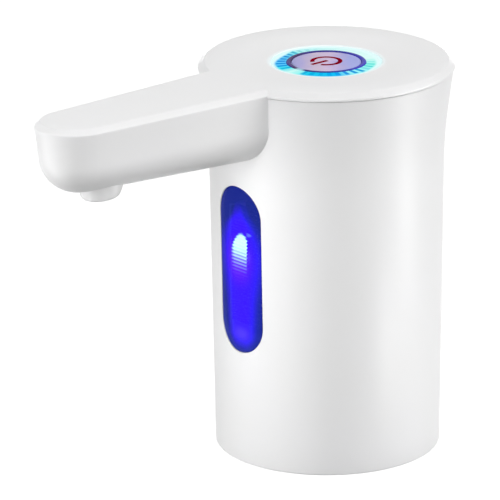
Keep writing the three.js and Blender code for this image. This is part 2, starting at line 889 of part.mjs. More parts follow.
// Pump housing: gear room, outlet spigot, shaft passage and the collar that holds the motor
function pumpHousing() {
  const spigotTop = pumpTop + barbLength;
  const channelZ = (chamberBottom + chamberTop) / 2;
  const spigot = barb(pumpTop - press, spigotTop).translate([outletX, outletY, 0]);
  const collarRadius = motorRadius + press + motorCollarWall;
  const collar = disc(collarRadius, pumpTop - motorSeatThickness, pumpTop + motorCollarHeight)
    .subtract(disc(motorRadius + press, pumpTop, pumpTop + motorCollarHeight + cutRun))
    .translate([motorX, pumpY, 0]);
  const channel = rod(
    new THREE.Vector3(0, outletY, channelZ), new THREE.Vector3(outletX, outletY, channelZ), channelRadius,
  );
  const riser = disc(channelRadius, channelZ, spigotTop + cutRun, smallTurn).translate([outletX, outletY, 0]);
  const sealFloor = pumpTop - sealThickness - motorBossHeight - 2 * press;
  const sealRoom = disc(sealRadius + press, sealFloor, pumpTop + cutRun).translate([motorX, pumpY, 0]);
  const shaftHole = disc(motorShaftRadius + fit, chamberTop - cutRun, pumpTop, smallTurn)
    .translate([motorX, pumpY, 0]);
  const pinHole = disc(idlerPinRadius + press, chamberTop - cutRun, chamberTop + idlerPinSeat, smallTurn)
    .translate([idlerX, pumpY, 0]);
  const screwHoles = pumpScrewPlaces().map((place) => (
    disc(screwShank, chamberBottom - cutRun, chamberBottom + screwGrip, smallTurn)
      .translate([place.x, place.y, 0])
  ));
  return pumpBlock(chamberBottom, pumpTop)
    .add(spigot)
    .add(collar)
    .subtract(gearRoom(chamberBottom - cutRun, chamberTop))
    .subtract(join([channel, riser, sealRoom, shaftHole, pinHole, ...screwHoles]));
}

// Hose spigot on the Z axis with one barb near its end
function barb(low, high) {
  const reach = tubeBore - barbRadius - press;
  return revolve([
    [0, low],
    [barbRadius - reach, low],
    [barbRadius - reach, high - barbRadius],
    [barbRadius + reach / 2, high - barbRadius],
    [barbRadius - reach, high],
    [0, high],
  ], smallTurn);
}

// Clearance holes of the pump screws between two heights
function pumpScrewHoles(low, high) {
  return join(pumpScrewPlaces().map((place) => (
    disc(screwShank + screwClear, low, high, smallTurn).translate([place.x, place.y, 0])
  )));
}

// Gasket between the pump's housing and its cover
function pumpGasket() {
  return pumpBlock(pumpCoverTop, chamberBottom)
    .subtract(gearRoom(pumpCoverTop - cutRun, chamberBottom + cutRun))
    .subtract(pumpScrewHoles(pumpCoverTop - cutRun, chamberBottom + cutRun));
}

// Pump cover with the inlet port and the seat of the idler pin
function pumpCover() {
  const port = disc(inletRadius + press, frameTop - cutRun, frameTop + pumpCoverThickness / 2);
  const way = disc(portRadius, frameTop, pumpCoverTop + cutRun, smallTurn);
  const pinHole = disc(idlerPinRadius + press, pumpCoverTop - idlerPinSeat, pumpCoverTop + cutRun, smallTurn)
    .translate([idlerX, pumpY, 0]);
  return pumpBlock(frameTop, pumpCoverTop)
    .subtract(port)
    .subtract(way)
    .subtract(pinHole)
    .subtract(pumpScrewHoles(frameTop - cutRun, pumpCoverTop + cutRun));
}

// Involute angle of a point where the pressure angle is known
function involute(angle) {
  return Math.tan(angle) - angle;
}

// Outline of a spur gear with involute flanks, a tooth centred on the given angle
function gearShape(phase, bore) {
  const pitchRadius = gearDistance / 2;
  const baseRound = pitchRadius * Math.cos(pressureAngle);
  const halfTooth = Math.PI / (2 * toothCount) - backlash / (4 * pitchRadius);
  const flank = [];
  for (let i = 0; i <= roundSteps; i += 1) {
    const radius = baseRound + (gearTip - baseRound) * i / roundSteps;
    const half = halfTooth + involute(pressureAngle) - involute(Math.acos(baseRound / radius));
    flank.push([radius, half]);
  }
  flank.unshift([gearRoot, flank[0][1]]);
  const shape = new THREE.Shape();
  const points = [];
  for (let tooth = 0; tooth < toothCount; tooth += 1) {
    const middle = phase + tooth * 2 * Math.PI / toothCount;
    flank.forEach(([radius, half]) => points.push([radius, middle - half]));
    flank.toReversed().forEach(([radius, half]) => points.push([radius, middle + half]));
  }
  shape.setFromPoints(points.map(([radius, angle]) => (
    new THREE.Vector2(radius * Math.cos(angle), radius * Math.sin(angle))
  )));
  const hole = new THREE.Path();
  hole.absarc(0, 0, bore, 0, 2 * Math.PI, true);
  shape.holes.push(hole);
  return shape;
}

// Gear of the pump, running between the gasket side and the roof of the chamber
function pumpGear(phase, bore) {
  return prism(gearShape(phase, bore), chamberBottom + gearSideGap, chamberTop - gearSideGap, arcSteps);
}

// Outline of the slotted rotor core
function rotorShape() {
  const shape = new THREE.Shape();
  const pitch = 2 * Math.PI / rotorPoles;
  const rotorRadius = motorRadius - motorWall - magnetThickness - rotorGap;
  for (let pole = 0; pole < rotorPoles; pole += 1) {
    const from = pole * pitch;
    shape.absarc(0, 0, rotorRadius, from, from + pitch * (1 - rotorSlotShare), false);
    shape.absarc(0, 0, rotorHubRadius, from + pitch * (1 - rotorSlotShare), from + pitch, false);
  }
  return shape;
}

// Motor can: a deep cup with the bearing boss on its front and an open back
function motorCan() {
  const hole = motorShaftRadius + fit;
  return revolve([
    [hole, pumpTop - motorBossHeight],
    [motorBossRadius, pumpTop - motorBossHeight],
    [motorBossRadius, pumpTop],
    [motorRadius, pumpTop],
    [motorRadius, motorBack],
    [motorRadius - motorWall, motorBack],
    [motorRadius - motorWall, pumpTop + motorWall],
    [hole, pumpTop + motorWall],
  ]);
}

// End cap: a disc on the back of the can with a plug inside it and a bearing hub
function motorEndCap() {
  const hole = motorShaftRadius + press;
  const plug = motorRadius - motorWall - press;
  return revolve([
    [hole, motorBack - endCapPlug],
    [motorBossRadius, motorBack - endCapPlug],
    [motorBossRadius, motorBack - press],
    [plug - motorWall, motorBack - press],
    [plug - motorWall, motorBack - endCapPlug],
    [plug, motorBack - endCapPlug],
    [plug, motorBack],
    [motorRadius, motorBack],
    [motorRadius, motorBack + endCapThickness / 2],
    [motorBossRadius, motorBack + endCapThickness / 2],
    [motorBossRadius, motorBack + endCapThickness],
    [hole, motorBack + endCapThickness],
  ]);
}

// Rotor: shaft, slotted core and commutator
function motorRotor() {
  const rotorLength = motorLength * rotorLengthShare;
  const coreLow = pumpTop + (motorLength - rotorLength) / 2 - endCapPlug / 2;
  const coreHigh = coreLow + rotorLength;
  const shaft = disc(motorShaftRadius, chamberBottom + gearSideGap, motorBack + endCapThickness - press, smallTurn);
  const core = prism(rotorShape(), coreLow, coreHigh, roundSteps);
  const commutator = disc(commutatorRadius, coreHigh - press, motorBack - endCapPlug - fit, smallTurn);
  return join([shaft, core, commutator]);
}

// Arc magnet against the wall of the can
function motorMagnet(middle) {
  const outer = motorRadius - motorWall - fit;
  const low = pumpTop + motorWall + fit;
  const shape = arcShape(outer - magnetThickness, outer, middle - magnetSpan / 2, middle + magnetSpan / 2);
  return prism(shape, low, low + motorLength * magnetLengthShare, roundSteps);
}

// Solder tab standing on the end cap
function motorTerminal(side) {
  const low = motorBack + endCapThickness / 2;
  return slab(side * terminalCircle, 0, terminalWidth / 2, terminalThickness / 2, low, low + terminalHeight);
}

// Soft seal round the motor shaft
function shaftSeal() {
  const low = pumpTop - sealThickness - motorBossHeight - press;
  return ring(motorShaftRadius + press, sealRadius, low, low + sealThickness);
}

// Places of the floor screws in plan
function floorScrewPlaces() {
  return circlePlaces(roomRadius - floorScrewInset, floorScrewCount, floorScrewTurn);
}

// Floor over the bottle-neck socket, with the passage of the inlet
function baseFloor() {
  const radius = innerRadius(socketDepth) - fit;
  const holes = floorScrewPlaces().map((place) => (
    disc(screwShank + screwClear, 0, floorTop + cutRun, smallTurn).translate([place.x, place.y, 0])
  ));
  const passage = disc(inletRadius + 2 * oringSection, socketDepth - cutRun, floorTop + cutRun);
  return disc(radius, socketDepth, floorTop, bodyTurn).subtract(join(holes)).subtract(passage);
}

// Fitting of the suction hose: flange over the floor, spigot into the pump cover, barbs below
function inletBarb() {
  const top = frameTop + pumpCoverThickness / 2 - press;
  const flangeTop = floorTop + inletFlangeThickness;
  const outline = [
    [inletBore, top], [inletRadius, top], [inletRadius, flangeTop], [inletFlangeRadius, flangeTop],
    [inletFlangeRadius, floorTop], [inletRadius, floorTop],
  ];
  const run = inletDrop / (inletBarbCount + 1);
  for (let i = 1; i <= inletBarbCount; i += 1) {
    const edge = socketDepth - run * i;
    outline.push([inletRadius, edge], [inletRadius + inletBarbReach, edge], [inletRadius, edge - run]);
  }
  outline.push([inletBore, socketDepth - inletDrop]);
  return revolve(outline, inletTurn);
}

// Soft ring in the floor's passage, round the inlet
function inletSeal() {
  const inner = inletRadius + press;
  const outer = inletRadius + 2 * oringSection - press;
  return ring(inner, outer, socketDepth + press, floorTop - press);
}

// Carrier of the pump, the battery, the charging board and the window lamp
function innerFrame() {
  const radius = innerRadius(frameBottom) - fit;
  const bosses = floorScrewPlaces().map((place) => (
    disc(frameBossRadius, floorTop, frameBottom + press, smallTurn).translate([place.x, place.y, 0])
  ));
  const pilots = floorScrewPlaces().map((place) => (
    disc(screwShank, floorTop - cutRun, frameTop - press, smallTurn).translate([place.x, place.y, 0])
  ));
  const inletHole = disc(inletRadius + fit, frameBottom - cutRun, frameTop + cutRun);
  const cradleInner = batteryRadius + fit;
  const cradleEnd = Math.PI - cradleOpening / 2;
  const cradleShape = arcShape(cradleInner, cradleInner + cradleWall, -cradleEnd, cradleEnd);
  const cradleTop = THREE.MathUtils.lerp(frameTop, batteryTop, cradleHeightShare);
  const cradle = prism(cradleShape, frameTop - press, cradleTop, arcSteps)
    .translate([cellX, cellY, 0]);
  const posts = chargePostPlaces().map((place) => (
    disc(chargePostRadius, frameTop - press, chargeBoardBottom, smallTurn)
      .add(disc(chargePinRadius, frameTop, chargeBoardBottom + boardThickness + chargePinRise, smallTurn))
      .translate([place.x, place.y, 0])
  ));
  return disc(radius, frameBottom, frameTop, bodyTurn)
    .add(join(bosses))
    .subtract(join(pilots))
    .subtract(inletHole)
    .subtract(pumpScrewHoles(frameBottom - cutRun, frameTop + cutRun))
    .add(cradle)
    .add(join(posts))
    .add(windowRails());
}

// Battery cell with its rounded edge and raised pole
function batteryCell() {
  return revolve([
    [0, batteryBottom],
    [batteryRadius - batteryEdge, batteryBottom],
    [batteryRadius, batteryBottom + batteryEdge],
    [batteryRadius, batteryTop - batteryEdge],
    [batteryRadius - batteryEdge, batteryTop],
    [batteryNubRadius, batteryTop],
    [batteryNubRadius, batteryTop + batteryNubHeight],
    [0, batteryTop + batteryNubHeight],
  ]).translate([cellX, cellY, 0]);
}

// Nickel tab across a pole of the cell, reaching out on the open side of the cradle
function batteryTab(low) {
  const reach = batteryRadius + tabWidth / 2;
  return slab(cellX - reach / 2 + tabWidth / 4, cellY, reach / 2 + tabWidth / 4, tabWidth / 2,
    low, low + tabThickness);
}

// Rear edge of the charging board, inside the wall
function chargeBoardRear() {
  return innerRadius(portHeight) - chargeBoardEdge;
}

// Right edge of the charging board, under the port
function chargeBoardRight() {
  return portWidth / 2 + chargeBoardEdge / 2;
}

// Posts of the charging board in plan
function chargePostPlaces() {
  const left = chargeBoardRight() - chargeBoardWidth + 2 * chargePostRadius;
  const front = chargeBoardRear() - chargeBoardDepth + 2 * chargePostRadius;
  return [
    new THREE.Vector2(left, front),
    new THREE.Vector2(left, front + chargeBoardDepth / 2),
    new THREE.Vector2(chargeBoardRight() - 2 * chargePostRadius, front + chargeBoardDepth / 3),
  ];
}

// Charging board, its rear edge following the wall
function chargeBoard() {
  const top = chargeBoardBottom + boardThickness;
  const holes = chargePostPlaces().map((place) => (
    disc(chargePinRadius + press, chargeBoardBottom - cutRun, top + cutRun, smallTurn)
      .translate([place.x, place.y, 0])
  ));
  const sheet = block(
    new THREE.Vector3(chargeBoardRight() - chargeBoardWidth, chargeBoardRear() - chargeBoardDepth,
      chargeBoardBottom),
    new THREE.Vector3(chargeBoardRight(), chargeBoardRear(), top),
  );
  return sheet.intersect(disc(chargeBoardRear(), chargeBoardBottom - cutRun, top + cutRun, bodyTurn))
    .subtract(join(holes));
}

// Charging socket: a rounded metal sleeve with its tongue
function usbPort() {
  const mouth = outerRadius(portHeight) - portSink;
  const back = mouth - portDepth;
  const tongue = block(
    new THREE.Vector3(-portTongueWidth / 2, back, portHeight - portTongueThickness / 2),
    new THREE.Vector3(portTongueWidth / 2, mouth - portWall * 2, portHeight + portTongueThickness / 2),
  );
  return portPrism(0, back, mouth)
    .subtract(portPrism(0, back + 2 * portWall, mouth + cutRun, portWall))
    .add(tongue);
}

// Soft collar in the socket: a sleeve with upright ribs that grip the bottle neck
function neckCollar() {
  const outer = socketRadius - fit;
  const inner = outer - collarWall;
  const hole = new THREE.Shape();
  const pitch = 2 * Math.PI / collarRibCount;
  const ribHalf = collarRibWidth / (2 * inner);
  for (let i = 0; i < collarRibCount; i += 1) {
    const middle = i * pitch;
    hole.absarc(0, 0, inner - collarRibReach, middle - ribHalf / 2, middle + ribHalf / 2, false);
    hole.absarc(0, 0, inner, middle + ribHalf, middle + pitch - ribHalf, false);
  }
  return disc(outer, collarFoot, socketDepth, bodyTurn)
    .subtract(prism(hole, collarFoot - cutRun, socketDepth + cutRun, cornerSteps / 2));
}

// Route of the spout tube: up from the pump, over into the arm and straight to the nozzle
function tubeRoute() {
  const rise = pumpTop + fit;
  const bendStart = new THREE.Vector3(outletX, outletY, tubeHeight - tubeDrop);
  const armStart = new THREE.Vector3(0, -shoulderRadius - tubeReach, tubeHeight);
  const route = new THREE.CurvePath();
  route.add(new THREE.LineCurve3(new THREE.Vector3(outletX, outletY, rise), bendStart));
  route.add(new THREE.CubicBezierCurve3(
    bendStart,
    bendStart.clone().add(new THREE.Vector3(0, 0, tubeBend)),
    armStart.clone().add(new THREE.Vector3(0, tubeBend, 0)),
    armStart,
  ));
  route.add(new THREE.LineCurve3(armStart, new THREE.Vector3(0, nozzleY + elbowRadius + fit, tubeHeight)));
  return route;
}

// Silicone tube with its bore
function spoutTube() {
  const section = new THREE.Shape();
  section.absarc(0, 0, tubeRadius, 0, 2 * Math.PI, false);
  const bore = new THREE.Path();
  bore.absarc(0, 0, tubeBore, 0, 2 * Math.PI, true);
  section.holes.push(bore);
  return solidOf(new THREE.ExtrudeGeometry(section, {
    extrudePath: tubeRoute(),
    steps: tubeSteps,
    curveSegments: tubeTurn / 2,
  }));
}

// Nozzle: rounded outlet below the arm, flange on the pad, elbow and spigot inside the arm
function spoutNozzle() {
  const bottom = armFloor(nozzleY) - nozzleDrop;
  const outline = [[0, padTop + elbowHeight], [elbowRadius, padTop + elbowHeight]];
  const flangeRadius = nozzleRadius + nozzleFlange - fit;
  const flangeBottom = padTop + oringSection;
  outline.push([elbowRadius, flangeBottom + nozzleFlangeThickness]);
  outline.push([flangeRadius, flangeBottom + nozzleFlangeThickness]);
  outline.push([flangeRadius, flangeBottom], [nozzleRadius, flangeBottom]);
  for (let i = 0; i <= roundSteps; i += 1) {
    const angle = Math.PI / 2 * i / roundSteps;
    const radius = nozzleRadius - nozzleRound * (1 - Math.cos(angle));
    outline.push([radius, bottom + nozzleRound * (1 - Math.sin(angle))]);
  }
  outline.push([0, bottom]);
  const spigot = barb(0, elbowRadius + barbLength)
    .rotate([-90, 0, 0])
    .translate([0, 0, tubeHeight]);
  const way = rod(
    new THREE.Vector3(0, 0, tubeHeight),
    new THREE.Vector3(0, elbowRadius + barbLength + cutRun, tubeHeight), barbBore,
  );
  const bore = disc(nozzleBore, bottom - cutRun, tubeHeight + barbBore);
  return revolve(outline)
    .add(spigot)
    .subtract(join([way, bore]))
    .translate([0, nozzleY, 0]);
}

// Flat seal ring between the pad in the arm and the flange of the nozzle
function nozzleSeal() {
  const outer = nozzleRadius + nozzleFlange - fit;
  return ring(nozzleRadius + press, outer, padTop, padTop + oringSection).translate([0, nozzleY, 0]);
}

// Sweep a section along a smooth curve through a list of points
function sweep(section, points, curveSegments) {
  const path = new THREE.CatmullRomCurve3(points);
  const steps = Math.ceil(path.getLength() / wirePitch);
  return solidOf(new THREE.ExtrudeGeometry(section, { extrudePath: path, steps, curveSegments }));
}

// Round wire through a list of points
function wire(points) {
  const section = new THREE.Shape();
  section.absarc(0, 0, wireRadius, 0, 2 * Math.PI, false);
  return sweep(section, points, wireTurn / 2);
}

// Flat cable of several cores side by side
function cable(points) {
  const shift = wireRadius * cableShiftShare * 2;
  const meet = Math.acos(cableShiftShare);
  const first = -shift * (cableCores - 1) / 2;
  const section = new THREE.Shape();
  for (let i = 0; i < cableCores; i += 1) {
    const from = i === 0 ? Math.PI : Math.PI - meet;
    const to = i === cableCores - 1 ? 0 : meet;
    section.absarc(first + shift * i, 0, wireRadius, from, to, true);
  }
  for (let i = cableCores - 1; i >= 0; i -= 1) {
    const from = i === cableCores - 1 ? 0 : -meet;
    const to = i === 0 ? -Math.PI : meet - Math.PI;
    section.absarc(first + shift * i, 0, wireRadius, from, to, true);
  }
  return sweep(section, points, cornerSteps / 2);
}

// Housing: body, cover, window and nozzle
function addHousing() {
  addPiece('body_shell', bodyShell(), 'shell');
  addPiece('top_cover', topCover(), 'shell');
  addPiece('window_lens', windowLens(), 'window');
  addPiece('spout_nozzle', spoutNozzle(), 'shell');
  addPiece('nozzle_seal', nozzleSeal(), 'seal');
}

// Button with its light ring, board, lamps and switch
function addControls() {
  addPiece('light_ring', lightRing(), 'ring');
  addPiece('button_bezel', buttonBezel(), 'bezel');
  addPiece('button_cap', buttonCap(), 'button');
  addPiece('switch_body', switchBody(), 'part');
  addPiece('switch_plunger', switchPlunger(), 'part');
  addPiece('control_board', controlBoard(), 'board');
  const lampCircle = (buttonRadius + fit + bezelWall + bezelFlange + ringRadius + ringFlange) / 2;
  circlePlaces(lampCircle, ringLedCount, 0).forEach((place, i) => {
    const lamp = slab(0, 0, ledWidth / 2, ledWidth / 2, boardTop, boardTop + ledHeight);
    const mesh = addPiece(`ring_led_${i + 1}`, lamp, 'lamp');
    mesh.position.set(place.x, place.y, 0);
  });
  circlePlaces(postCircle, postCount, postTurn).forEach((place, i) => {
    const mesh = addPiece(`board_screw_${i + 1}`, screw(boardBottom, boardThickness + screwGrip - fit), 'zinc');
    mesh.position.set(place.x, place.y, 0);
  });
}

// Ribbed light plate and its lamp
function addWindowLamp() {
  addPiece('window_light_plate', windowLightPlate(), 'plate');
  addPiece('window_led_board', windowLedBoard(), 'board');
  addPiece('window_led', windowLed(), 'lamp');
}

// Gear pump, inlet fitting and spout tube
function addPump() {
  const pinLow = pumpCoverTop - idlerPinSeat + press;
  const pinHigh = chamberTop + idlerPinSeat - press;
  addPiece('pump_housing', pumpHousing(), 'part');
  addPiece('pump_gasket', pumpGasket(), 'seal');
  addPiece('pump_cover', pumpCover(), 'part');
  addPiece('drive_gear', pumpGear(0, motorShaftRadius + press), 'gear').position.set(motorX, pumpY, 0);
  addPiece('idler_gear', pumpGear(Math.PI / toothCount, idlerPinRadius + press), 'gear')
    .position.set(idlerX, pumpY, 0);
  addPiece('idler_pin', disc(idlerPinRadius, pinLow, pinHigh, smallTurn), 'steel')
    .position.set(idlerX, pumpY, 0);
  addPiece('shaft_seal', shaftSeal(), 'seal').position.set(motorX, pumpY, 0);
  pumpScrewPlaces().forEach((place, i) => {
    const grip = chamberBottom + screwGrip - frameBottom - fit;
    const mesh = addPiece(`pump_screw_${i + 1}`, screw(frameBottom, grip), 'zinc');
    mesh.position.set(place.x, place.y, 0);
  });
  addPiece('inlet_barb', inletBarb(), 'shell');
  addPiece('inlet_seal', inletSeal(), 'seal');
  addPiece('spout_tube', spoutTube(), 'silicone');
}

// Motor on its own axis over the drive gear
function addMotor() {
  const motor = new THREE.Group();
  motor.position.set(motorX, pumpY, 0);
  model.add(motor);
  addPiece('motor_can', motorCan(), 'steel', motor);
  addPiece('motor_end_cap', motorEndCap(), 'part', motor);
  addPiece('motor_rotor', motorRotor(), 'steel', motor);
  addPiece('motor_magnet_left', motorMagnet(Math.PI), 'ferrite', motor);
  addPiece('motor_magnet_right', motorMagnet(0), 'ferrite', motor);
  addPiece('motor_terminal_left', motorTerminal(-1), 'brass', motor);
  addPiece('motor_terminal_right', motorTerminal(1), 'brass', motor);
}

// Floor, collar and the inner frame with what it carries
function addCarrier() {
  addPiece('inner_frame', innerFrame(), 'inner');
  addPiece('base_floor', baseFloor(), 'shell');
  floorScrewPlaces().forEach((place, i) => {
    const grip = frameTop - press - socketDepth - fit;
    addPiece(`floor_screw_${i + 1}`, screw(socketDepth, grip), 'zinc').position.set(place.x, place.y, 0);
  });
  addPiece('neck_collar', neckCollar(), 'silicone');
  addPiece('battery_cell', batteryCell(), 'cell');
  addPiece('battery_tab_bottom', batteryTab(frameTop), 'steel');
  addPiece('battery_tab_top', batteryTab(batteryTop + batteryNubHeight), 'steel');
  addPiece('charge_board', chargeBoard(), 'board');
  addPiece('usb_port', usbPort(), 'steel');
}

// Point of a wire's route
function at(x, y, z) {
  return new THREE.Vector3(x, y, z);
}

// Inner wires, each whole from its tab or board to the next
function addWires() {
  const underBoard = boardBottom - fit;
  const wireHead = motorBack + endCapThickness / 2 + terminalHeight + fit;
  [['left', -1, 'red'], ['right', 1, 'black']].forEach(([side, sign, finish]) => {
    const x = motorX + sign * terminalCircle;
    addPiece(`motor_wire_${side}`, wire([
      at(x, pumpY, wireHead),
      at(x, pumpY, wireHead + wireLead),
      at(x + wireSpread, pumpY + wireSpread, underBoard - wireLead),
      at(x + wireSpread, pumpY + wireSpread, underBoard),
    ]), finish);
  });
  const tabX = cellX - batteryRadius - tabWidth / 4;
  const chargeTop = chargeBoardBottom + boardThickness + fit;
  const topTab = batteryTop + batteryNubHeight + tabThickness + 2 * fit + wireRadius;
  const dropX = cellX - batteryRadius - tabWidth / 2 - 2 * wireRadius;
  addPiece('battery_wire_top', wire([
    at(tabX, cellY, topTab),
    at(dropX, cellY, topTab),
    at(dropX - wireRadius, cellY, topTab - wireLead),
    at(dropX - wireRadius, cellY, chargeTop + wireLead),
    at(dropX - wireRadius, cellY, chargeTop),
  ]), 'red');
  const bottomTab = frameTop + tabThickness + fit + wireRadius;
  addPiece('battery_wire_bottom', wire([
    at(tabX, cellY, bottomTab),
    at(dropX, cellY, bottomTab),
    at(dropX - wireRadius, cellY, chargeBoardBottom - fit),
  ]), 'black');
  const cableX = chargeBoardRight() - chargeBoardWidth / 2;
  const cableY = chargeBoardRear() - chargeBoardDepth + 2 * wireLead;
  addPiece('board_cable', cable([
    at(cableX, cableY, chargeTop),
    at(cableX, cableY, chargeTop + wireLead),
    at(cableX, cableY, underBoard - 2 * wireLead),
    at(cableX, cableY - wireSpread, underBoard - wireLead),
    at(cableX, cableY - wireSpread, underBoard),
  ]), 'black');
  const lampBoard = lampBoardFront() + lampBoardThickness / 2;
  const lampTop = windowCentre + plateReach + fit;
  addPiece('window_wire', wire([
    at(-wireSpread, lampBoard, lampTop),
    at(-wireSpread, lampBoard, lampTop + wireLead),
    at(-wireSpread, -postCircle + wireSpread, underBoard - wireLead),
    at(-wireSpread, -postCircle + wireSpread, underBoard),
  ]), 'red');
}

addHousing();
addControls();
addWindowLamp();
addPump();
addMotor();
addCarrier();
addWires();

export default model;
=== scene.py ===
"""Bottled water pump: the dressed model over its CAD frame, in metres.

The pump stands on the neck of a large water bottle. The spout arm points along -Y,
and the origin is the centre of the base opening on the axis of the body.
"""

import json
import logging
import math
from dataclasses import KW_ONLY, dataclass, field
from enum import Enum
from typing import Sequence

import bmesh
import bpy
from mathutils import Matrix, Vector


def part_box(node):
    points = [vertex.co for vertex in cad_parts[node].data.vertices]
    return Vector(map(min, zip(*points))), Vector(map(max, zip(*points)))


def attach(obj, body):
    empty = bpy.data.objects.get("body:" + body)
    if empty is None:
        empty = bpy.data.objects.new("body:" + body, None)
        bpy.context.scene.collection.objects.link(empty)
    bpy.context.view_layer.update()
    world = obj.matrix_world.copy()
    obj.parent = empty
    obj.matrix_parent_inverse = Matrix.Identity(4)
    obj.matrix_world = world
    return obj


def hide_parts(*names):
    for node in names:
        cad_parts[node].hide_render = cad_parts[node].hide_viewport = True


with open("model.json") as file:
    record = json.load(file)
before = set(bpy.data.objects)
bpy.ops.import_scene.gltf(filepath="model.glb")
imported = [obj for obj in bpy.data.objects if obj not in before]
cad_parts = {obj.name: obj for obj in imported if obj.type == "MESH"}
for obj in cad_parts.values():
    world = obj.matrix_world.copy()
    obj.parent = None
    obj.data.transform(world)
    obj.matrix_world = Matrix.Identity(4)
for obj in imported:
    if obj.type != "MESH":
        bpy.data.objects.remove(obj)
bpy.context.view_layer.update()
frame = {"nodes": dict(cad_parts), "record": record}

LOG = logging.getLogger("water_pump")
MM = 0.001
FULL_TURN = 2 * math.pi
NEARLY_STRAIGHT = math.pi - 0.01
LEG_SHARE = 0.499
ON_AXIS = 1e-6
BUMP_DEPTH = 0.0001
BLACK = (0.0, 0.0, 0.0, 1.0)
WHITE = (1.0, 1.0, 1.0, 1.0)

# A corner is (x, y, z), or (x, y, radius) in an outline. A colour is in screen steps of 0 to 255.
# The rows of a table of stops hold a place from 0 to 1, then a share or a colour.
Point = tuple[float, float]
Corner = tuple[float, float, float]
Colour = tuple[int, int, int]
Stops = tuple[tuple[float, ...], ...]
Piece = bpy.types.Object
Material = bpy.types.Material
Node = bpy.types.Node
Signal = bpy.types.NodeSocket


class Cut(Enum):
    """Ways to combine two closed meshes."""

    JOIN = "UNION"
    TAKE = "DIFFERENCE"


# Outlines


def rounded(corners: Sequence[Corner], steps: int = 6) -> list[Point]:
    """Round the corners of an open outline with arcs.

    Args:
        corners: Each corner as (x, y, radius); a radius of 0 stays sharp.
        steps: Segments of each arc.

    Returns:
        The points of the rounded outline, in order.
    """
    points: list[Point] = []
    for i, (x, y, radius) in enumerate(corners):
        if radius <= 0 or i in (0, len(corners) - 1):
            points.append((x, y))
            continue
        here = Vector((x, y))
        before = Vector(corners[i - 1][:2]) - here
        after = Vector(corners[i + 1][:2]) - here
        angle = before.angle(after)
        if angle > NEARLY_STRAIGHT:
            points.append((x, y))
            continue
        back = min(radius / math.tan(angle / 2), before.length * LEG_SHARE, after.length * LEG_SHARE)
        start, end = here + before.normalized() * back, here + after.normalized() * back
        points += [arc_point(start, here, end, k / steps) for k in range(steps + 1)]
    return points


def arc_point(start: Vector, corner: Vector, end: Vector, share: float) -> Point:
    """Find a point on the arc that is tangent to both legs of a corner.

    Args:
        start: Where the arc leaves the first leg.
        corner: The corner.
        end: Where the arc meets the second leg.
        share: Share of the arc, from 0 to 1.

    Returns:
        The point.
    """
    leg = (start - corner).length
    middle = (start + end) / 2
    reach = (corner - middle).length
    centre = corner + (middle - corner) * (leg * leg / (reach * reach))
    first, last = start - centre, end - centre
    return tuple(centre + Matrix.Rotation(-first.angle_signed(last) * share, 2) @ first)


def stadium(half_width: float, half_height: float, steps: int) -> list[Point]:
    """Draw a round-ended upright outline about its centre.

    Args:
        half_width: Half the width, which is also the radius of the ends.
        half_height: Half the height.
        steps: Segments of each round end.

    Returns:
        The points of the closed outline, counter-clockwise.
    """
    straight = half_height - half_width
    points: list[Point] = []
    for side, start in ((1, 0.0), (-1, math.pi)):
        for k in range(steps + 1):
            angle = start + math.pi * k / steps
            points.append((half_width * math.cos(angle), side * straight + half_width * math.sin(angle)))
    return points


def oblong(left: float, right: float, low: float, high: float) -> list[Point]:
    """Corners of a rectangle, counter-clockwise."""
    return [(left, low), (right, low), (right, high), (left, high)]


def circle(radius: float, height: float, sides: int) -> list[Corner]:
    """Level ring of points about the axis."""
    angles = [FULL_TURN * k / sides for k in range(sides)]
    return [(radius * math.cos(angle), radius * math.sin(angle), height) for angle in angles]


# Meshes


def mesh_object(name: str, points: Sequence[Corner], faces: Sequence[Sequence[int]]) -> Piece:
    """Make an object of points in millimetres.

    Args:
        name: Name of the piece.
        points: Corners in millimetres.
        faces: Corner numbers of each face.

    Returns:
        The new object, linked to the scene, with its faces turned outwards.
    """
    mesh = bpy.data.meshes.new(name)
    mesh.from_pydata([tuple(c * MM for c in point) for point in points], [], faces)
    mesh.validate()
    shape = bmesh.new()
    shape.from_mesh(mesh)
    bmesh.ops.remove_doubles(shape, verts=shape.verts, dist=1e-7)
    bmesh.ops.recalc_face_normals(shape, faces=shape.faces)
    shape.to_mesh(mesh)
    shape.free()
    made = bpy.data.objects.new(name, mesh)
    bpy.context.scene.collection.objects.link(made)
    return made


def bands(rows: Sequence[Sequence[int]]) -> list[list[int]]:
    """Make the faces between neighbouring rings, each ring closed on itself.

    Args:
        rows: Corner numbers of each ring, of equal count.

    Returns:
        Corner numbers of each face, without those that have no area.
    """
    faces = []
    for low, high in zip(rows, rows[1:]):
        for k in range(len(low)):
            after = (k + 1) % len(low)
            faces.append(list(dict.fromkeys((low[k], low[after], high[after], high[k]))))
    return [face for face in faces if len(face) > 2]


def tube(name: str, rings: Sequence[Sequence[Corner]]) -> Piece:
    """Join rings into one skin that closes from the last ring to the first.

    Args:
        name: Name of the piece.
        rings: Rings in millimetres, of equal count; a single point stands for a ring on the axis.

    Returns:
        The object.
    """
    sides = max(len(ring) for ring in rings)
    points: list[Corner] = []
    rows = []
    for ring in rings:
        first = len(points)
        rows.append([first + k for k in range(sides)] if len(ring) > 1 else [first] * sides)
        points.extend(ring)
    return mesh_object(name, points, bands(rows + rows[:1]))


def turned(name: str, outline: Sequence[Point], sides: int) -> Piece:
    """Turn a closed outline about the Z axis.

    Args:
        name: Name of the piece.
        outline: Points as (radius, height) in millimetres; a radius of 0 lies on the axis.
        sides: Segments round the axis.

    Returns:
        The turned object.
    """
    rings = []
    for radius, height in outline:
        rings.append([(0.0, 0.0, height)] if radius < ON_AXIS else circle(radius, height, sides))
    return tube(name, rings)


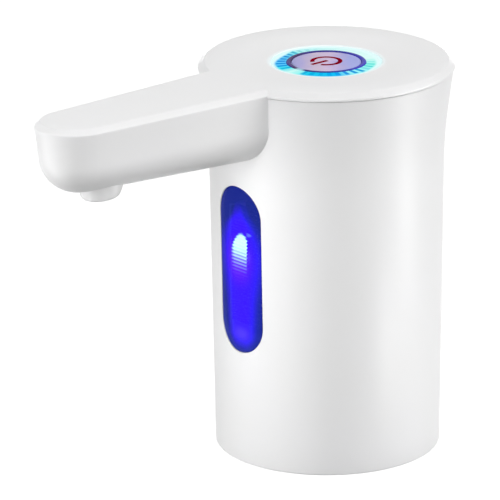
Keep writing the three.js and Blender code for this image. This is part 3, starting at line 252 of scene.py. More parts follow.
def lofted(name: str, *runs: Sequence[Sequence[Corner]]) -> Piece:
    """Join rings of equal count into closed skins with flat ends.

    Args:
        name: Name of the piece.
        runs: Rings of points in millimetres, one run for each skin.

    Returns:
        The lofted object.
    """
    points: list[Corner] = []
    faces: list[list[int]] = []
    for rings in runs:
        rows = []
        for ring in rings:
            rows.append([len(points) + k for k in range(len(ring))])
            points.extend(ring)
        faces += bands(rows) + [rows[0], rows[-1]]
    return mesh_object(name, points, faces)


def combine(target: Piece, other: Piece, how: Cut) -> Piece:
    """Join or cut one closed mesh with another, which is used up.

    Args:
        target: The object that stays.
        other: The object that is joined or cut away.
        how: What is done.

    Returns:
        The target.
    """
    cut = target.modifiers.new("cut", "BOOLEAN")
    cut.operation = how.value
    cut.solver = "MANIFOLD"
    cut.object = other
    graph = bpy.context.evaluated_depsgraph_get()
    mesh = bpy.data.meshes.new_from_object(target.evaluated_get(graph))
    target.modifiers.clear()
    old = target.data
    target.data = mesh
    mesh.name = target.name
    bpy.data.meshes.remove(old)
    bpy.data.objects.remove(other)
    return target


def shift(piece: Piece, x: float = 0.0, y: float = 0.0, z: float = 0.0) -> Piece:
    """Move the mesh of a piece, in millimetres."""
    piece.data.transform(Matrix.Translation((x * MM, y * MM, z * MM)))
    return piece


def turn(piece: Piece, degrees: float) -> Piece:
    """Turn the mesh of a piece about the Z axis."""
    piece.data.transform(Matrix.Rotation(math.radians(degrees), 4, "Z"))
    return piece


def shade(piece: Piece, material: Material, crease: float) -> None:
    """Give a piece its material and smooth shading.

    Args:
        piece: The piece.
        material: Its finish.
        crease: Angle in degrees above which an edge stays sharp.
    """
    mesh = piece.data
    mesh.materials.clear()
    mesh.materials.append(material)
    mesh.polygons.foreach_set("use_smooth", [True] * len(mesh.polygons))
    mesh.set_sharp_from_angle(angle=math.radians(crease))


def settle(
    piece: Piece,
    material: Material,
    body: str = "housing",
    nodes: Sequence[str] = (),
    crease: float = 32.0,
) -> None:
    """Finish a piece: shading, material, the body it rides on and the solids it stands for.

    Args:
        piece: The piece, already in place.
        material: Its finish.
        body: CAD body that it rides on.
        nodes: CAD nodes that it replaces.
        crease: Angle in degrees above which an edge stays sharp.
    """
    shape = bmesh.new()
    shape.from_mesh(piece.data)
    bmesh.ops.remove_doubles(shape, verts=shape.verts, dist=2e-7)
    bmesh.ops.dissolve_degenerate(shape, edges=shape.edges, dist=1e-7)
    shape.to_mesh(piece.data)
    shape.free()
    shade(piece, material, crease)
    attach(piece, body)
    if nodes:
        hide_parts(*nodes)
    LOG.info("%s: %d faces, rides on %s", piece.name, len(piece.data.polygons), body)


# Shader nodes


class Nodes:
    """A helper that adds and links the nodes of one material, world or group."""

    def __init__(self, tree: bpy.types.NodeTree) -> None:
        """Keep the tree and clear it."""
        self.tree = tree
        tree.nodes.clear()

    def node(self, kind: str, settings: dict[str, object] | None = None, **inputs: object) -> Node:
        """Add a node.

        Args:
            kind: Node type, such as ShaderNodeTexNoise.
            settings: Properties of the node itself.
            inputs: Values or output sockets for its inputs, with _ for a space in a name.

        Returns:
            The new node.
        """
        node = self.tree.nodes.new(kind)
        for name, value in (settings or {}).items():
            setattr(node, name, value)
        for name, value in inputs.items():
            self.put(node, name.replace("_", " "), value)
        return node

    def put(self, node: Node, name: str | int, value: object) -> None:
        """Set or link one input of a node.

        Args:
            node: The node.
            name: Name or number of the input.
            value: A value, or the output socket that is linked to it.
        """
        socket = node.inputs[name]
        if isinstance(value, Signal):
            self.tree.links.new(value, socket)
        else:
            socket.default_value = value

    def fill(self, node: Node, *values: object) -> Signal:
        """Set or link the first inputs of a node.

        Args:
            node: The node.
            values: Values or output sockets, in the order of its inputs.

        Returns:
            Its first output.
        """
        for i, value in enumerate(values):
            self.put(node, i, value)
        return node.outputs[0]

    def math(self, operation: str, *values: object, clamp: bool = False) -> Signal:
        """Add a Math node and give its output."""
        return self.fill(self.node("ShaderNodeMath", {"operation": operation, "use_clamp": clamp}), *values)

    def plus(self, a: object, b: object) -> Signal:
        """Sum of two values."""
        return self.math("ADD", a, b)

    def minus(self, a: object, b: object) -> Signal:
        """First value less the second."""
        return self.math("SUBTRACT", a, b)

    def times(self, a: object, b: object) -> Signal:
        """Product of two values."""
        return self.math("MULTIPLY", a, b)

    def over(self, a: object, b: object) -> Signal:
        """First value by the second."""
        return self.math("DIVIDE", a, b)

    def squares(self, a: object, b: object) -> Signal:
        """Sum of the squares of two values."""
        return self.plus(self.times(a, a), self.times(b, b))

    def away(self, value: object, middle: float) -> Signal:
        """Distance of a value from a middle."""
        return self.math("ABSOLUTE", self.minus(value, middle))

    def oval(self, across: Signal, up: Signal, centre: Point, radii: Point) -> Signal:
        """Measure places against an upright oval.

        Args:
            across: Place across.
            up: Height.
            centre: Middle of the oval.
            radii: Half its width and half its height.

        Returns:
            0 at its middle, 1 on its edge, growing with the square of the distance.
        """
        x = self.over(self.minus(across, centre[0]), radii[0])
        return self.squares(x, self.over(self.minus(up, centre[1]), radii[1]))

    def ramp(self, value: object, low: object, high: object, *ends: float) -> Signal:
        """Map a value smoothly from one range to another.

        Args:
            value: The value.
            low: Where the range starts.
            high: Where it ends.
            ends: What these two become, if not 0 and 1.

        Returns:
            The mapped value.
        """
        node = self.node("ShaderNodeMapRange", {"interpolation_type": "SMOOTHSTEP"})
        to_low, to_high = ends or (0.0, 1.0)
        named = {"Value": value, "From Min": low, "From Max": high, "To Min": to_low, "To Max": to_high}
        for name, setting in named.items():
            self.put(node, name, setting)
        return node.outputs["Result"]

    def fade(self, value: object, low: object, high: object, peak: float = 1.0) -> Signal:
        """Map a value smoothly from a peak at one place to 0 at the next."""
        return self.ramp(value, low, high, peak, 0.0)

    def mix(self, share: object, a: object, b: object) -> Signal:
        """Mix two colours by a share.

        Args:
            share: Share of the second colour.
            a: First colour.
            b: Second colour.

        Returns:
            The mixed colour.
        """
        node = self.node("ShaderNodeMix", {"data_type": "RGBA", "blend_type": "MIX", "clamp_factor": True})
        for number, value in ((0, share), (6, a), (7, b)):
            self.put(node, number, value)
        return node.outputs[2]

    def stops(self, value: object, table: Stops) -> Signal:
        """Map a value from 0 to 1 to the shares or colours of a table.

        Args:
            value: The value.
            table: The stops, in order.

        Returns:
            The share or the colour.
        """
        node = self.node("ShaderNodeValToRGB", Fac=value)
        elements = node.color_ramp.elements
        while len(elements) < len(table):
            elements.new(0.5)
        for element, (place, *shown) in zip(elements, table):
            element.position = place
            element.color = linear(*shown) if len(shown) == 3 else (shown[0], shown[0], shown[0], 1.0)
        return node.outputs["Color"]

    def place(self) -> Signal:
        """Place on the object, in metres."""
        return self.node("ShaderNodeTexCoord").outputs["Object"]

    def millimetres(self, axis: str) -> Signal:
        """Place on the object along one axis, in millimetres."""
        return self.times(self.node("ShaderNodeSeparateXYZ", Vector=self.place()).outputs[axis], 1000.0)

    def group(self, tree: bpy.types.NodeTree, **inputs: object) -> Node:
        """Place a node group with its own values."""
        return self.node("ShaderNodeGroup", {"node_tree": tree}, **inputs)


def linear(red: float, green: float, blue: float) -> tuple[float, float, float, float]:
    """Linear colour of a screen colour given in steps of 0 to 255."""
    shares = [step / 255 for step in (red, green, blue)]
    return (*[s / 12.92 if s <= 0.04045 else ((s + 0.055) / 1.055) ** 2.4 for s in shares], 1.0)


def start_group(name: str, inputs: dict[str, float], *outputs: str) -> tuple[Nodes, Node, Node]:
    """Start a node group with named float inputs and outputs.

    Args:
        name: Name of the group.
        inputs: Input names and their default values.
        outputs: Output names.

    Returns:
        The helper for its nodes, and the nodes of its inputs and outputs.
    """
    tree = bpy.data.node_groups.new(name, "ShaderNodeTree")
    for label, value in inputs.items():
        socket = tree.interface.new_socket(name=label, in_out="INPUT", socket_type="NodeSocketFloat")
        socket.default_value = value
    for label in outputs:
        tree.interface.new_socket(name=label, in_out="OUTPUT", socket_type="NodeSocketFloat")
    nodes = Nodes(tree)
    return nodes, nodes.node("NodeGroupInput"), nodes.node("NodeGroupOutput")


def moulded_group() -> bpy.types.NodeTree:
    """Make the surface of moulded plastic: a slow unevenness of the wall and a fine grain.

    Returns:
        The group, with outputs Height for a bump and Tone for colour and roughness.
    """
    inputs = {"Wave Scale": 60.0, "Grain Scale": 2500.0, "Grain": 0.3}
    nodes, entry, leave = start_group("moulded_surface", inputs, "Height", "Tone")
    place = nodes.place()
    wave = nodes.node("ShaderNodeTexNoise", Vector=place, Scale=entry.outputs["Wave Scale"], Detail=2.0)
    grain = nodes.node("ShaderNodeTexNoise", Vector=place, Scale=entry.outputs["Grain Scale"], Detail=3.0)
    height = nodes.plus(wave.outputs["Fac"], nodes.times(grain.outputs["Fac"], entry.outputs["Grain"]))
    nodes.put(leave, "Height", height)
    nodes.put(leave, "Tone", nodes.ramp(height, 0.35, 0.95))
    return nodes.tree


def brushed_group() -> bpy.types.NodeTree:
    """Make drawn or turned metal: fine lines along one axis.

    Returns:
        The group, with outputs Height for a bump and Shade for colour and roughness.
    """
    nodes, entry, leave = start_group("drawn_lines", {"Across": 3000.0, "Along": 60.0}, "Height", "Shade")
    across = entry.outputs["Across"]
    scale = nodes.node("ShaderNodeCombineXYZ", X=across, Y=across, Z=entry.outputs["Along"])
    stretch = nodes.node("ShaderNodeVectorMath", {"operation": "MULTIPLY"})
    stretched = nodes.fill(stretch, nodes.place(), scale.outputs[0])
    lines = nodes.node("ShaderNodeTexNoise", Vector=stretched, Scale=1.0, Detail=3.0)
    nodes.put(leave, "Height", lines.outputs["Fac"])
    nodes.put(leave, "Shade", nodes.ramp(lines.outputs["Fac"], 0.3, 0.7))
    return nodes.tree


def radial_group() -> bpy.types.NodeTree:
    """Make the places round the axis of the body.

    Returns:
        The group, with outputs Radius in millimetres, Turn as a share of a full turn,
        Ring, which is 1 between two radii with soft edges, and Side, which rises from 0 to 1
        over the given width along the direction of Side Turn.
    """
    inputs = {"Inner": 10.0, "Outer": 20.0, "Soft": 0.3, "Side Turn": 0.86, "Width": 22.0}
    nodes, entry, leave = start_group("places_round_axis", inputs, "Radius", "Turn", "Ring", "Side")
    inner, outer, soft, lean, width = (entry.outputs[label] for label in inputs)
    across, along = nodes.millimetres("X"), nodes.millimetres("Y")
    radius = nodes.math("SQRT", nodes.squares(across, along))
    rise = nodes.ramp(radius, nodes.minus(inner, soft), inner)
    fall = nodes.fade(radius, outer, nodes.plus(outer, soft))
    reach = nodes.plus(
        nodes.times(across, nodes.math("COSINE", lean)), nodes.times(along, nodes.math("SINE", lean))
    )
    share = nodes.over(nodes.math("ARCTAN2", along, across), FULL_TURN)
    nodes.put(leave, "Radius", radius)
    nodes.put(leave, "Turn", nodes.plus(share, 0.5))
    nodes.put(leave, "Ring", nodes.times(rise, fall))
    nodes.put(leave, "Side", nodes.math("ADD", nodes.over(reach, width), 0.5, clamp=True))
    return nodes.tree


@dataclass(frozen=True)
class Effects:
    """The shared shader node groups, each built once."""

    moulded: bpy.types.NodeTree = field(default_factory=moulded_group)
    brushed: bpy.types.NodeTree = field(default_factory=brushed_group)
    radial: bpy.types.NodeTree = field(default_factory=radial_group)


# Finishes


class Sheet(Nodes):
    """Nodes of one material with a Principled BSDF, and the shared groups that it can place."""

    def __init__(self, material: Material, effects: Effects) -> None:
        """Start the nodes of a material with its shader and output.

        Args:
            material: The material.
            effects: The shared node groups.
        """
        material.use_nodes = True
        super().__init__(material.node_tree)
        self.effects = effects
        self.shader = self.node("ShaderNodeBsdfPrincipled")
        self.node("ShaderNodeOutputMaterial", Surface=self.shader.outputs["BSDF"])

    def dress(self, **inputs: object) -> None:
        """Set or link inputs of the Principled BSDF, with _ for a space in a name."""
        for name, value in inputs.items():
            self.put(self.shader, name.replace("_", " "), value)

    def bump(self, source: Node, strength: float, depth: float) -> None:
        """Raise the surface by the Height output of a node."""
        bump = self.node("ShaderNodeBump", Strength=strength, Distance=depth, Height=source.outputs["Height"])
        self.dress(Normal=bump.outputs["Normal"])


@dataclass(frozen=True)
class Grain:
    """Unevenness of a moulded surface; without a bump it only changes the tone."""

    wave_scale: float = 60.0
    grain_scale: float = 2500.0
    share: float = 0.3
    bump: float = 0.02

    def lay(self, sheet: Sheet, roughness: Point) -> Signal:
        """Give a material its roughness and its bump.

        Args:
            sheet: Nodes of the material.
            roughness: Roughness at tone 0 and at tone 1.

        Returns:
            The tone, from 0 to 1.
        """
        moulded = sheet.effects.moulded
        surface = sheet.group(
            moulded, Wave_Scale=self.wave_scale, Grain_Scale=self.grain_scale, Grain=self.share
        )
        tone = surface.outputs["Tone"]
        sheet.dress(Roughness=sheet.ramp(tone, 0.0, 1.0, *roughness))
        if self.bump:
            sheet.bump(surface, self.bump, BUMP_DEPTH)
        return tone


@dataclass(frozen=True)
class Finish:
    """A procedural material."""

    name: str

    def build(self, effects: Effects) -> Material:
        """Make the material.

        Args:
            effects: The shared node groups.

        Returns:
            The finished material.
        """
        material = bpy.data.materials.new(self.name)
        self._wire(Sheet(material, effects))
        return material

    def _wire(self, sheet: Sheet) -> None:
        """Add the nodes of this finish.

        Args:
            sheet: Nodes of the material.
        """
        raise NotImplementedError


@dataclass(frozen=True)
class MouldedPlastic(Finish):
    """Opaque moulded plastic with a fine grain."""

    colour: Colour
    shade: Colour
    roughness: Point = (0.25, 0.32)
    grain: Grain = Grain()
    coat: float = 0.0
    specular: float = 0.5

    def _wire(self, sheet: Sheet) -> None:
        """Add the nodes of this finish.

        Args:
            sheet: Nodes of the material.
        """
        tone = self.grain.lay(sheet, self.roughness)
        sheet.dress(
            Base_Color=sheet.mix(tone, linear(*self.shade), linear(*self.colour)),
            Specular_IOR_Level=self.specular,
            Coat_Weight=self.coat,
            Coat_Roughness=0.08,
        )


@dataclass(frozen=True)
class DrawnMetal(Finish):
    """Bare metal with fine lines from drawing, turning or plating."""

    colour: Colour
    shade: Colour
    roughness: Point = (0.22, 0.4)
    metallic: float = 1.0
    across: float = 3000.0
    along: float = 60.0
    line_bump: float = 0.08
    line_depth: float = 0.00005

    def _wire(self, sheet: Sheet) -> None:
        """Add the nodes of this finish.

        Args:
            sheet: Nodes of the material.
        """
        lines = sheet.group(sheet.effects.brushed, Across=self.across, Along=self.along)
        tone = lines.outputs["Shade"]
        sheet.dress(
            Base_Color=sheet.mix(tone, linear(*self.shade), linear(*self.colour)),
            Roughness=sheet.ramp(tone, 0.0, 1.0, *self.roughness),
            Metallic=self.metallic,
        )
        sheet.bump(lines, self.line_bump, self.line_depth)


@dataclass(frozen=True)
class GlowingShell(Finish):
    """White gloss shell, with the light ring's spill painted on as a faint glow next to the ring."""

    name: str = "white_shell"
    colour: Colour = (244, 244, 245)
    shade: Colour = (243, 243, 243)
    # Colour of the painted glow: the ring's light on the cover, given as emission.
    painted_ring_glow: Colour = (66, 104, 108)
    roughness: Point = (0.41, 0.43)
    grain: Grain = Grain(45.0, 3200.0, 0.2, 0.006)
    painted_ring_glow_start: float = 17.2
    painted_ring_glow_width: float = 1.8
    painted_ring_glow_floor: float = 123.0

    def _wire(self, sheet: Sheet) -> None:
        """Add the nodes of this finish.

        Args:
            sheet: Nodes of the material.
        """
        tone = self.grain.lay(sheet, self.roughness)
        # Painted light: the ring's glow on the cover just outside its opening, as emission on the shell.
        start, width = self.painted_ring_glow_start, self.painted_ring_glow_width
        places = sheet.group(sheet.effects.radial, Inner=start, Outer=start, Soft=width)
        above = sheet.math("GREATER_THAN", sheet.millimetres("Z"), self.painted_ring_glow_floor)
        glow = sheet.times(places.outputs["Ring"], above)
        sheet.dress(
            Base_Color=sheet.mix(tone, linear(*self.shade), linear(*self.colour)),
            Specular_IOR_Level=1.0,
            Emission_Color=sheet.mix(glow, BLACK, linear(*self.painted_ring_glow)),
            Emission_Strength=1.0,
        )


@dataclass(frozen=True)
class RingLight(Finish):
    """Clear ring over the lamps: blue ticks on cyan, washed out where the lamps shine straight up."""

    name: str = "ring_light"
    roughness: Point = (0.3, 0.4)
    ticks: float = 34.0
    tick_drift: float = 0.3
    drift_scale: float = 23.0
    tick_edge: Point = (0.19, 0.30)
    inner: float = 12.6
    outer: float = 16.9
    start_inset: float = 0.3
    end_inset: float = 0.9
    soft: float = 0.5
    edge: Colour = (226, 253, 253)
    darkening: float = 0.93
    strength: float = 0.95
    tick_shares: Stops = (
        (0.0, 0.8), (0.06, 1.0), (0.215, 1.0), (0.245, 0.1), (0.292, 0.06), (0.308, 0.95),
        (0.37, 0.55), (0.44, 0.9), (0.53, 1.0), (0.545, 0.3), (0.57, 0.85), (0.64, 0.45),
        (0.67, 0.04), (0.9, 0.04), (0.95, 0.35), (1.0, 0.7),
    )
    tick_colours: Stops = (
        (0.0, 52, 178, 204), (0.06, 18, 138, 218), (0.12, 14, 126, 226), (0.19, 0, 146, 228),
        (0.24, 16, 198, 226), (0.31, 0, 176, 226), (0.41, 0, 158, 240), (0.46, 0, 140, 228),
        (0.52, 0, 164, 222), (0.58, 54, 222, 214), (0.66, 120, 236, 226), (1.0, 96, 196, 208),
    )
    gap_colours: Stops = (
        (0.0, 150, 240, 240), (0.08, 104, 208, 244), (0.17, 96, 198, 248), (0.225, 62, 228, 238),
        (0.262, 206, 253, 247), (0.295, 150, 248, 244), (0.32, 30, 204, 240), (0.42, 20, 190, 246),
        (0.475, 150, 244, 248), (0.54, 160, 247, 246), (0.60, 150, 246, 234), (0.68, 222, 253, 249),
        (0.82, 214, 251, 248), (1.0, 176, 240, 242),
    )
    tick_lengths: Stops = (
        (0.0, 0.72), (0.05, 0.45), (0.10, 0.50), (0.16, 0.78), (0.22, 0.95),
        (0.5, 0.98), (0.56, 0.75), (0.64, 0.6), (0.9, 0.5), (1.0, 0.7),
    )

    def _wire(self, sheet: Sheet) -> None:
        """Add the nodes of this finish.

        Args:
            sheet: Nodes of the material.
        """
        first, last = self.inner + self.start_inset, self.outer - self.end_inset
        places = sheet.group(sheet.effects.radial, Inner=first, Outer=last, Soft=self.soft)
        radius, around = places.outputs["Radius"], places.outputs["Turn"]
        noise = {"noise_dimensions": "1D"}
        wobble = sheet.node("ShaderNodeTexNoise", noise, W=around, Scale=self.drift_scale, Detail=1.0)
        drift = sheet.times(sheet.minus(wobble.outputs["Fac"], 0.5), self.tick_drift)
        saw = sheet.math("FRACT", sheet.plus(sheet.times(around, self.ticks), drift))
        tick = sheet.fade(sheet.away(saw, 0.5), *self.tick_edge)
        length = sheet.times(sheet.stops(around, self.tick_lengths), self.outer - self.inner)
        reach = sheet.plus(length, self.inner)
        inside = sheet.fade(radius, sheet.minus(reach, 0.5), sheet.plus(reach, 0.3))
        share = sheet.times(sheet.stops(around, self.tick_shares), places.outputs["Ring"])
        tick = sheet.times(sheet.times(tick, inside), share)
        rim = sheet.ramp(radius, sheet.minus(reach, 0.3), sheet.plus(reach, 0.9))
        ground = sheet.mix(rim, sheet.stops(around, self.gap_colours), linear(*self.edge))
        colour = sheet.mix(tick, ground, sheet.stops(around, self.tick_colours))
        sheet.dress(
            Base_Color=sheet.mix(self.darkening, colour, BLACK),
            Emission_Color=colour,
            Emission_Strength=self.strength,
            Roughness=sheet.ramp(tick, 0.0, 1.0, *self.roughness),
            Specular_IOR_Level=0.0,
        )


@dataclass(frozen=True)
class SideGradientPaint(Finish):
    """Satin paint whose colour shifts from one side to the other; on the button the shift is a painted
    reflection, and a pale painted spill of the ring's light can be laid on by turn.
    """

    colours: Stops
    width: float
    _: KW_ONLY
    roughness: Point = (0.3, 0.4)
    grain: Grain = Grain(160.0, 5200.0, 0.4, 0.03)
    speckle: float = 0.12
    specular: float = 0.08
    # Painted light: a pale spill of the ring's light, laid on by turn round the axis.
    painted_spill: Colour = (196, 232, 250)
    painted_spill_shares: Stops = ((0.0, 0.0), (1.0, 0.0))

    def _wire(self, sheet: Sheet) -> None:
        """Add the nodes of this finish.

        Args:
            sheet: Nodes of the material.
        """
        tone = self.grain.lay(sheet, self.roughness)
        places = sheet.group(sheet.effects.radial, Width=self.width)
        # The colour shifts across the piece by side; on the button this shift is a painted reflection.
        side = sheet.plus(places.outputs["Side"], sheet.times(sheet.minus(tone, 0.5), self.speckle))
        # Painted light spill from the ring, mixed into the colour by turn.
        painted_spill = sheet.stops(places.outputs["Turn"], self.painted_spill_shares)
        colour = sheet.mix(painted_spill, sheet.stops(side, self.colours), linear(*self.painted_spill))
        sheet.dress(Base_Color=colour, Specular_IOR_Level=self.specular)


@dataclass(frozen=True)
class TintedLens(Finish):
    """Clear blue lens of the window, which scatters the light of the plate behind it, with painted shade
    along its edge.
    """

    name: str = "blue_lens"
    roughness: Point = (0.03, 0.05)
    grain: Grain = Grain(140.0, 3000.0, 0.1, 0.01)
    tint: Corner = (0.06, 0.075, 0.35)
    tint_fade: float = 0.9
    gloss: Corner = (0.35, 0.35, 1.0)
    dark: Colour = (14, 30, 112)
    vivid: Colour = (52, 2, 248)
    # Painted shade: the dark colour laid along the lens's edge, where the window's lip throws shade.
    rim: Colour = (10, 14, 84)
    violet: Colour = (96, 12, 252)
    violet_oval: tuple[Point, Point] = ((-0.8, 66.5), (8.0, 10.5))
    lavender: Colour = (76, 48, 252)
    lavender_oval: tuple[Point, Point] = ((0.2, 42.8), (5.0, 3.4))
    middle: float = 0.45
    bottom: float = 36.0
    top: float = 91.0
    lower_end: Point = (36.5, 42.5)
    upper_end: Point = (78.5, 87.0)
    widest: float = 8.5
    edge_half_width: float = 9.75
    edge_straight: float = 17.35
    edge_centre: float = 63.75
    strength: float = 0.9
    spread: Stops = (
        (0.0, 0.28), (0.11, 0.56), (0.2, 0.61), (0.33, 0.67), (0.44, 0.81), (0.55, 0.95),
        (0.62, 0.96), (0.69, 0.84), (0.76, 0.64), (0.83, 0.30), (0.9, 0.14), (1.0, 0.1),
    )

    def _wire(self, sheet: Sheet) -> None:
        """Add the nodes of this finish.

        Args:
            sheet: Nodes of the material.
        """
        tone = self.grain.lay(sheet, self.roughness)
        red, green, blue = self.tint
        faded = (red * self.tint_fade, green * self.tint_fade, blue, 1.0)
        across = sheet.minus(sheet.millimetres("X"), self.middle)
        up = sheet.millimetres("Z")
        colour = self._glow(sheet, across, up)
        past = sheet.minus(sheet.away(up, self.edge_centre), self.edge_straight)
        whole = sheet.plus(across, self.middle)
        reach = sheet.math("SQRT", sheet.squares(whole, sheet.math("MAXIMUM", past, 0.0)))
        # Painted shade along the lens's edge, mixed into the emission.
        rim = sheet.ramp(reach, self.edge_half_width - 0.6, self.edge_half_width - 0.1)
        sheet.dress(
            Base_Color=sheet.mix(tone, faded, (*self.tint, 1.0)),
            Transmission_Weight=0.85,
            IOR=1.05,
            Specular_IOR_Level=0.5,
            Specular_Tint=(*self.gloss, 1.0),
            Emission_Color=sheet.mix(rim, colour, linear(*self.rim)),
            Emission_Strength=self.strength,
        )

    def _glow(self, sheet: Sheet, across: Signal, up: Signal) -> Signal:
        """Colour the light that the lens scatters.

        Args:
            sheet: Nodes of the material.
            across: Place across, from the middle of the light.
            up: Height.

        Returns:
            The colour, without the painted shade at the edge.
        """
        share = sheet.over(sheet.minus(up, self.bottom), self.top - self.bottom)
        width = sheet.times(sheet.stops(share, self.spread), self.widest)
        aside = sheet.over(sheet.math("ABSOLUTE", across), width)
        ends = sheet.times(sheet.ramp(up, *self.lower_end), sheet.fade(up, *self.upper_end))
        glow = sheet.times(sheet.fade(aside, 0.5, 1.5), ends)
        colour = linear(*self.vivid)
        violet = sheet.math("SQRT", sheet.oval(across, up, *self.violet_oval))
        colour = sheet.mix(sheet.fade(violet, 0.1, 1.0), colour, linear(*self.violet))
        lavender = sheet.math("SQRT", sheet.oval(across, up, *self.lavender_oval))
        colour = sheet.mix(sheet.fade(lavender, 0.1, 1.0), colour, linear(*self.lavender))
        return sheet.mix(glow, linear(*self.dark), colour)


@dataclass(frozen=True)
class GuideLight(Finish):
    """Ribbed light plate behind the lens, with the white patch of the lamp and its lit ribs."""

    name: str = "guide_light"
    roughness: Point = (0.25, 0.4)
    grain: Grain = Grain(300.0, 4000.0, 0.3, 0.0)
    colour: Colour = (10, 9, 34)
    shade: Colour = (8, 7, 28)
    patch: Corner = (0.6, 1.0, 1.0)
    fading: Corner = (1.0, 0.35, 1.0)
    strength: float = 30.0
    patch_x: float = -3.2
    patch_top: float = 74.3
    patch_half_width: float = 3.6
    dome_middle: float = 0.9
    dome_bend: float = 0.24
    full_height: float = 70.0
    last_height: float = 58.0
    fall_power: float = 2.2
    rib_pitch: float = 1.1
    first_rib: float = 44.93
    rib_edge: Point = (0.12, 0.36)
    between_ribs: Point = (0.15, 0.9)
    spark: tuple[Point, Point] = ((0.7, 0.3), (1.5, 0.8))
    spark_peak: float = 0.12
    streak: tuple[Point, Point] = ((0.9, -2.6), (0.6, 3.2))
    streak_peak: float = 0.035

    def _wire(self, sheet: Sheet) -> None:
        """Add the nodes of this finish.

        Args:
            sheet: Nodes of the material.
        """
        tone = self.grain.lay(sheet, self.roughness)
        across = sheet.minus(sheet.millimetres("X"), self.patch_x)
        up = sheet.millimetres("Z")
        half = self.patch_half_width
        (x, z), radii = self.spark
        spark = sheet.oval(across, up, (half + x, self.patch_top + z), radii)
        (x, z), radii = self.streak
        streak = sheet.oval(across, up, (half + x, self.full_height + z), radii)
        spots = sheet.math(
            "MAXIMUM",
            sheet.fade(spark, 0.0, 1.0, self.spark_peak),
            sheet.fade(streak, 0.0, 1.0, self.streak_peak),
        )
        bright = sheet.math("MAXIMUM", self._patch(sheet, across, up), spots)
        light = sheet.times(bright, sheet.ramp(tone, 0.0, 1.0, 0.85, 1.0))
        tinge = sheet.mix(sheet.ramp(light, 0.0, 0.05), (*self.fading, 1.0), (*self.patch, 1.0))
        sheet.dress(
            Base_Color=sheet.mix(tone, linear(*self.colour), linear(*self.shade)),
            Emission_Color=sheet.mix(light, BLACK, tinge),
            Emission_Strength=self.strength,
        )

    def _patch(self, sheet: Sheet, across: Signal, up: Signal) -> Signal:
        """Draw the lamp's patch: a domed column of light that falls off downwards rib by rib.

        Args:
            sheet: Nodes of the material.
            across: Place across, from the middle of the patch.
            up: Height.

        Returns:
            The brightness, from 0 to 1.
        """
        half = self.patch_half_width
        rib = sheet.math("FRACT", sheet.over(sheet.minus(up, self.first_rib), self.rib_pitch))
        face = sheet.fade(sheet.away(rib, 0.5), *self.rib_edge)
        columns = sheet.times(
            sheet.ramp(across, -half - 0.7, -half + 1.5), sheet.fade(across, half - 0.45, half)
        )
        lean = sheet.minus(across, self.dome_middle)
        dome = sheet.minus(self.patch_top, sheet.times(sheet.times(lean, lean), self.dome_bend))
        lid = sheet.fade(sheet.minus(up, dome), -1.1, 0.4)
        fall = sheet.math("POWER", sheet.ramp(up, self.last_height, self.full_height), self.fall_power)
        between = sheet.ramp(up, self.full_height - 6.0, self.full_height + 1.0, *self.between_ribs)
        ribbed = sheet.plus(sheet.times(face, sheet.minus(1.0, between)), between)
        return sheet.times(sheet.times(columns, lid), sheet.times(fall, ribbed))


# Camera and studio


def direction(azimuth: float, elevation: float) -> Vector:
    """Unit vector at an azimuth from -Y towards +X and an elevation, in degrees."""
    a, e = math.radians(azimuth), math.radians(elevation)
    return Vector((math.sin(a) * math.cos(e), -math.cos(a) * math.cos(e), math.sin(e)))


@dataclass(frozen=True)
class PhotoCamera:
    """Camera at the photograph's place, fitted to its outlines."""

    azimuth: float = 49.285
    elevation: float = 18.2292
    distance: float = 1526.28
    look_height: float = 65.0
    yaw: float = 0.9079
    pitch: float = -0.0932
    roll: float = 0.2011
    lens: float = 349.46
    sensor: float = 36.0
    clip: Point = (0.05, 20.0)

    def build(self) -> None:
        """Make the camera and set it as the scene's camera."""
        back = direction(self.azimuth, self.elevation)
        place = Vector((0.0, 0.0, self.look_height)) + back * self.distance
        right = (-back).cross(Vector((0.0, 0.0, 1.0))).normalized()
        axes = [-back, right, right.cross(-back)]
        for number, angle in ((2, self.yaw), (1, self.pitch), (0, self.roll)):
            spin = Matrix.Rotation(math.radians(angle), 3, axes[number])
            axes = [spin @ axis for axis in axes]
        forward, right, up = axes
        data = bpy.data.cameras.new("photo_camera")
        data.sensor_fit = "HORIZONTAL"
        data.sensor_width = self.sensor
        data.lens = self.lens
        data.clip_start, data.clip_end = self.clip
        data.dof.use_dof = False
        camera = bpy.data.objects.new("photo_camera", data)
        bpy.context.scene.collection.objects.link(camera)
        pose = Matrix((right, up, -forward)).transposed().to_4x4()
        camera.matrix_world = Matrix.Translation(place * MM) @ pose
        bpy.context.scene.camera = camera


@dataclass(frozen=True)
class Lamp:
    """Soft box aimed at the axis; its azimuth counts from the camera's, positive to the image's right."""

    name: str
    azimuth: float
    elevation: float
    distance: float
    width: float
    height: float
    power: float
    aim: float = 0.07

    def build(self, camera_azimuth: float) -> None:
        """Place the lamp round the object.

        Args:
            camera_azimuth: Azimuth of the camera, in degrees.
        """
        out = direction(camera_azimuth + self.azimuth, self.elevation)
        data = bpy.data.lights.new(self.name, "AREA")
        data.shape = "RECTANGLE"
        data.size, data.size_y = self.width, self.height
        data.energy = self.power
        lamp = bpy.data.objects.new(self.name, data)
        lamp.visible_camera = False
        bpy.context.scene.collection.objects.link(lamp)
        place = Matrix.Translation(Vector((0.0, 0.0, self.aim)) + out * self.distance)
        lamp.matrix_world = place @ out.to_track_quat("Z", "Y").to_matrix().to_4x4()


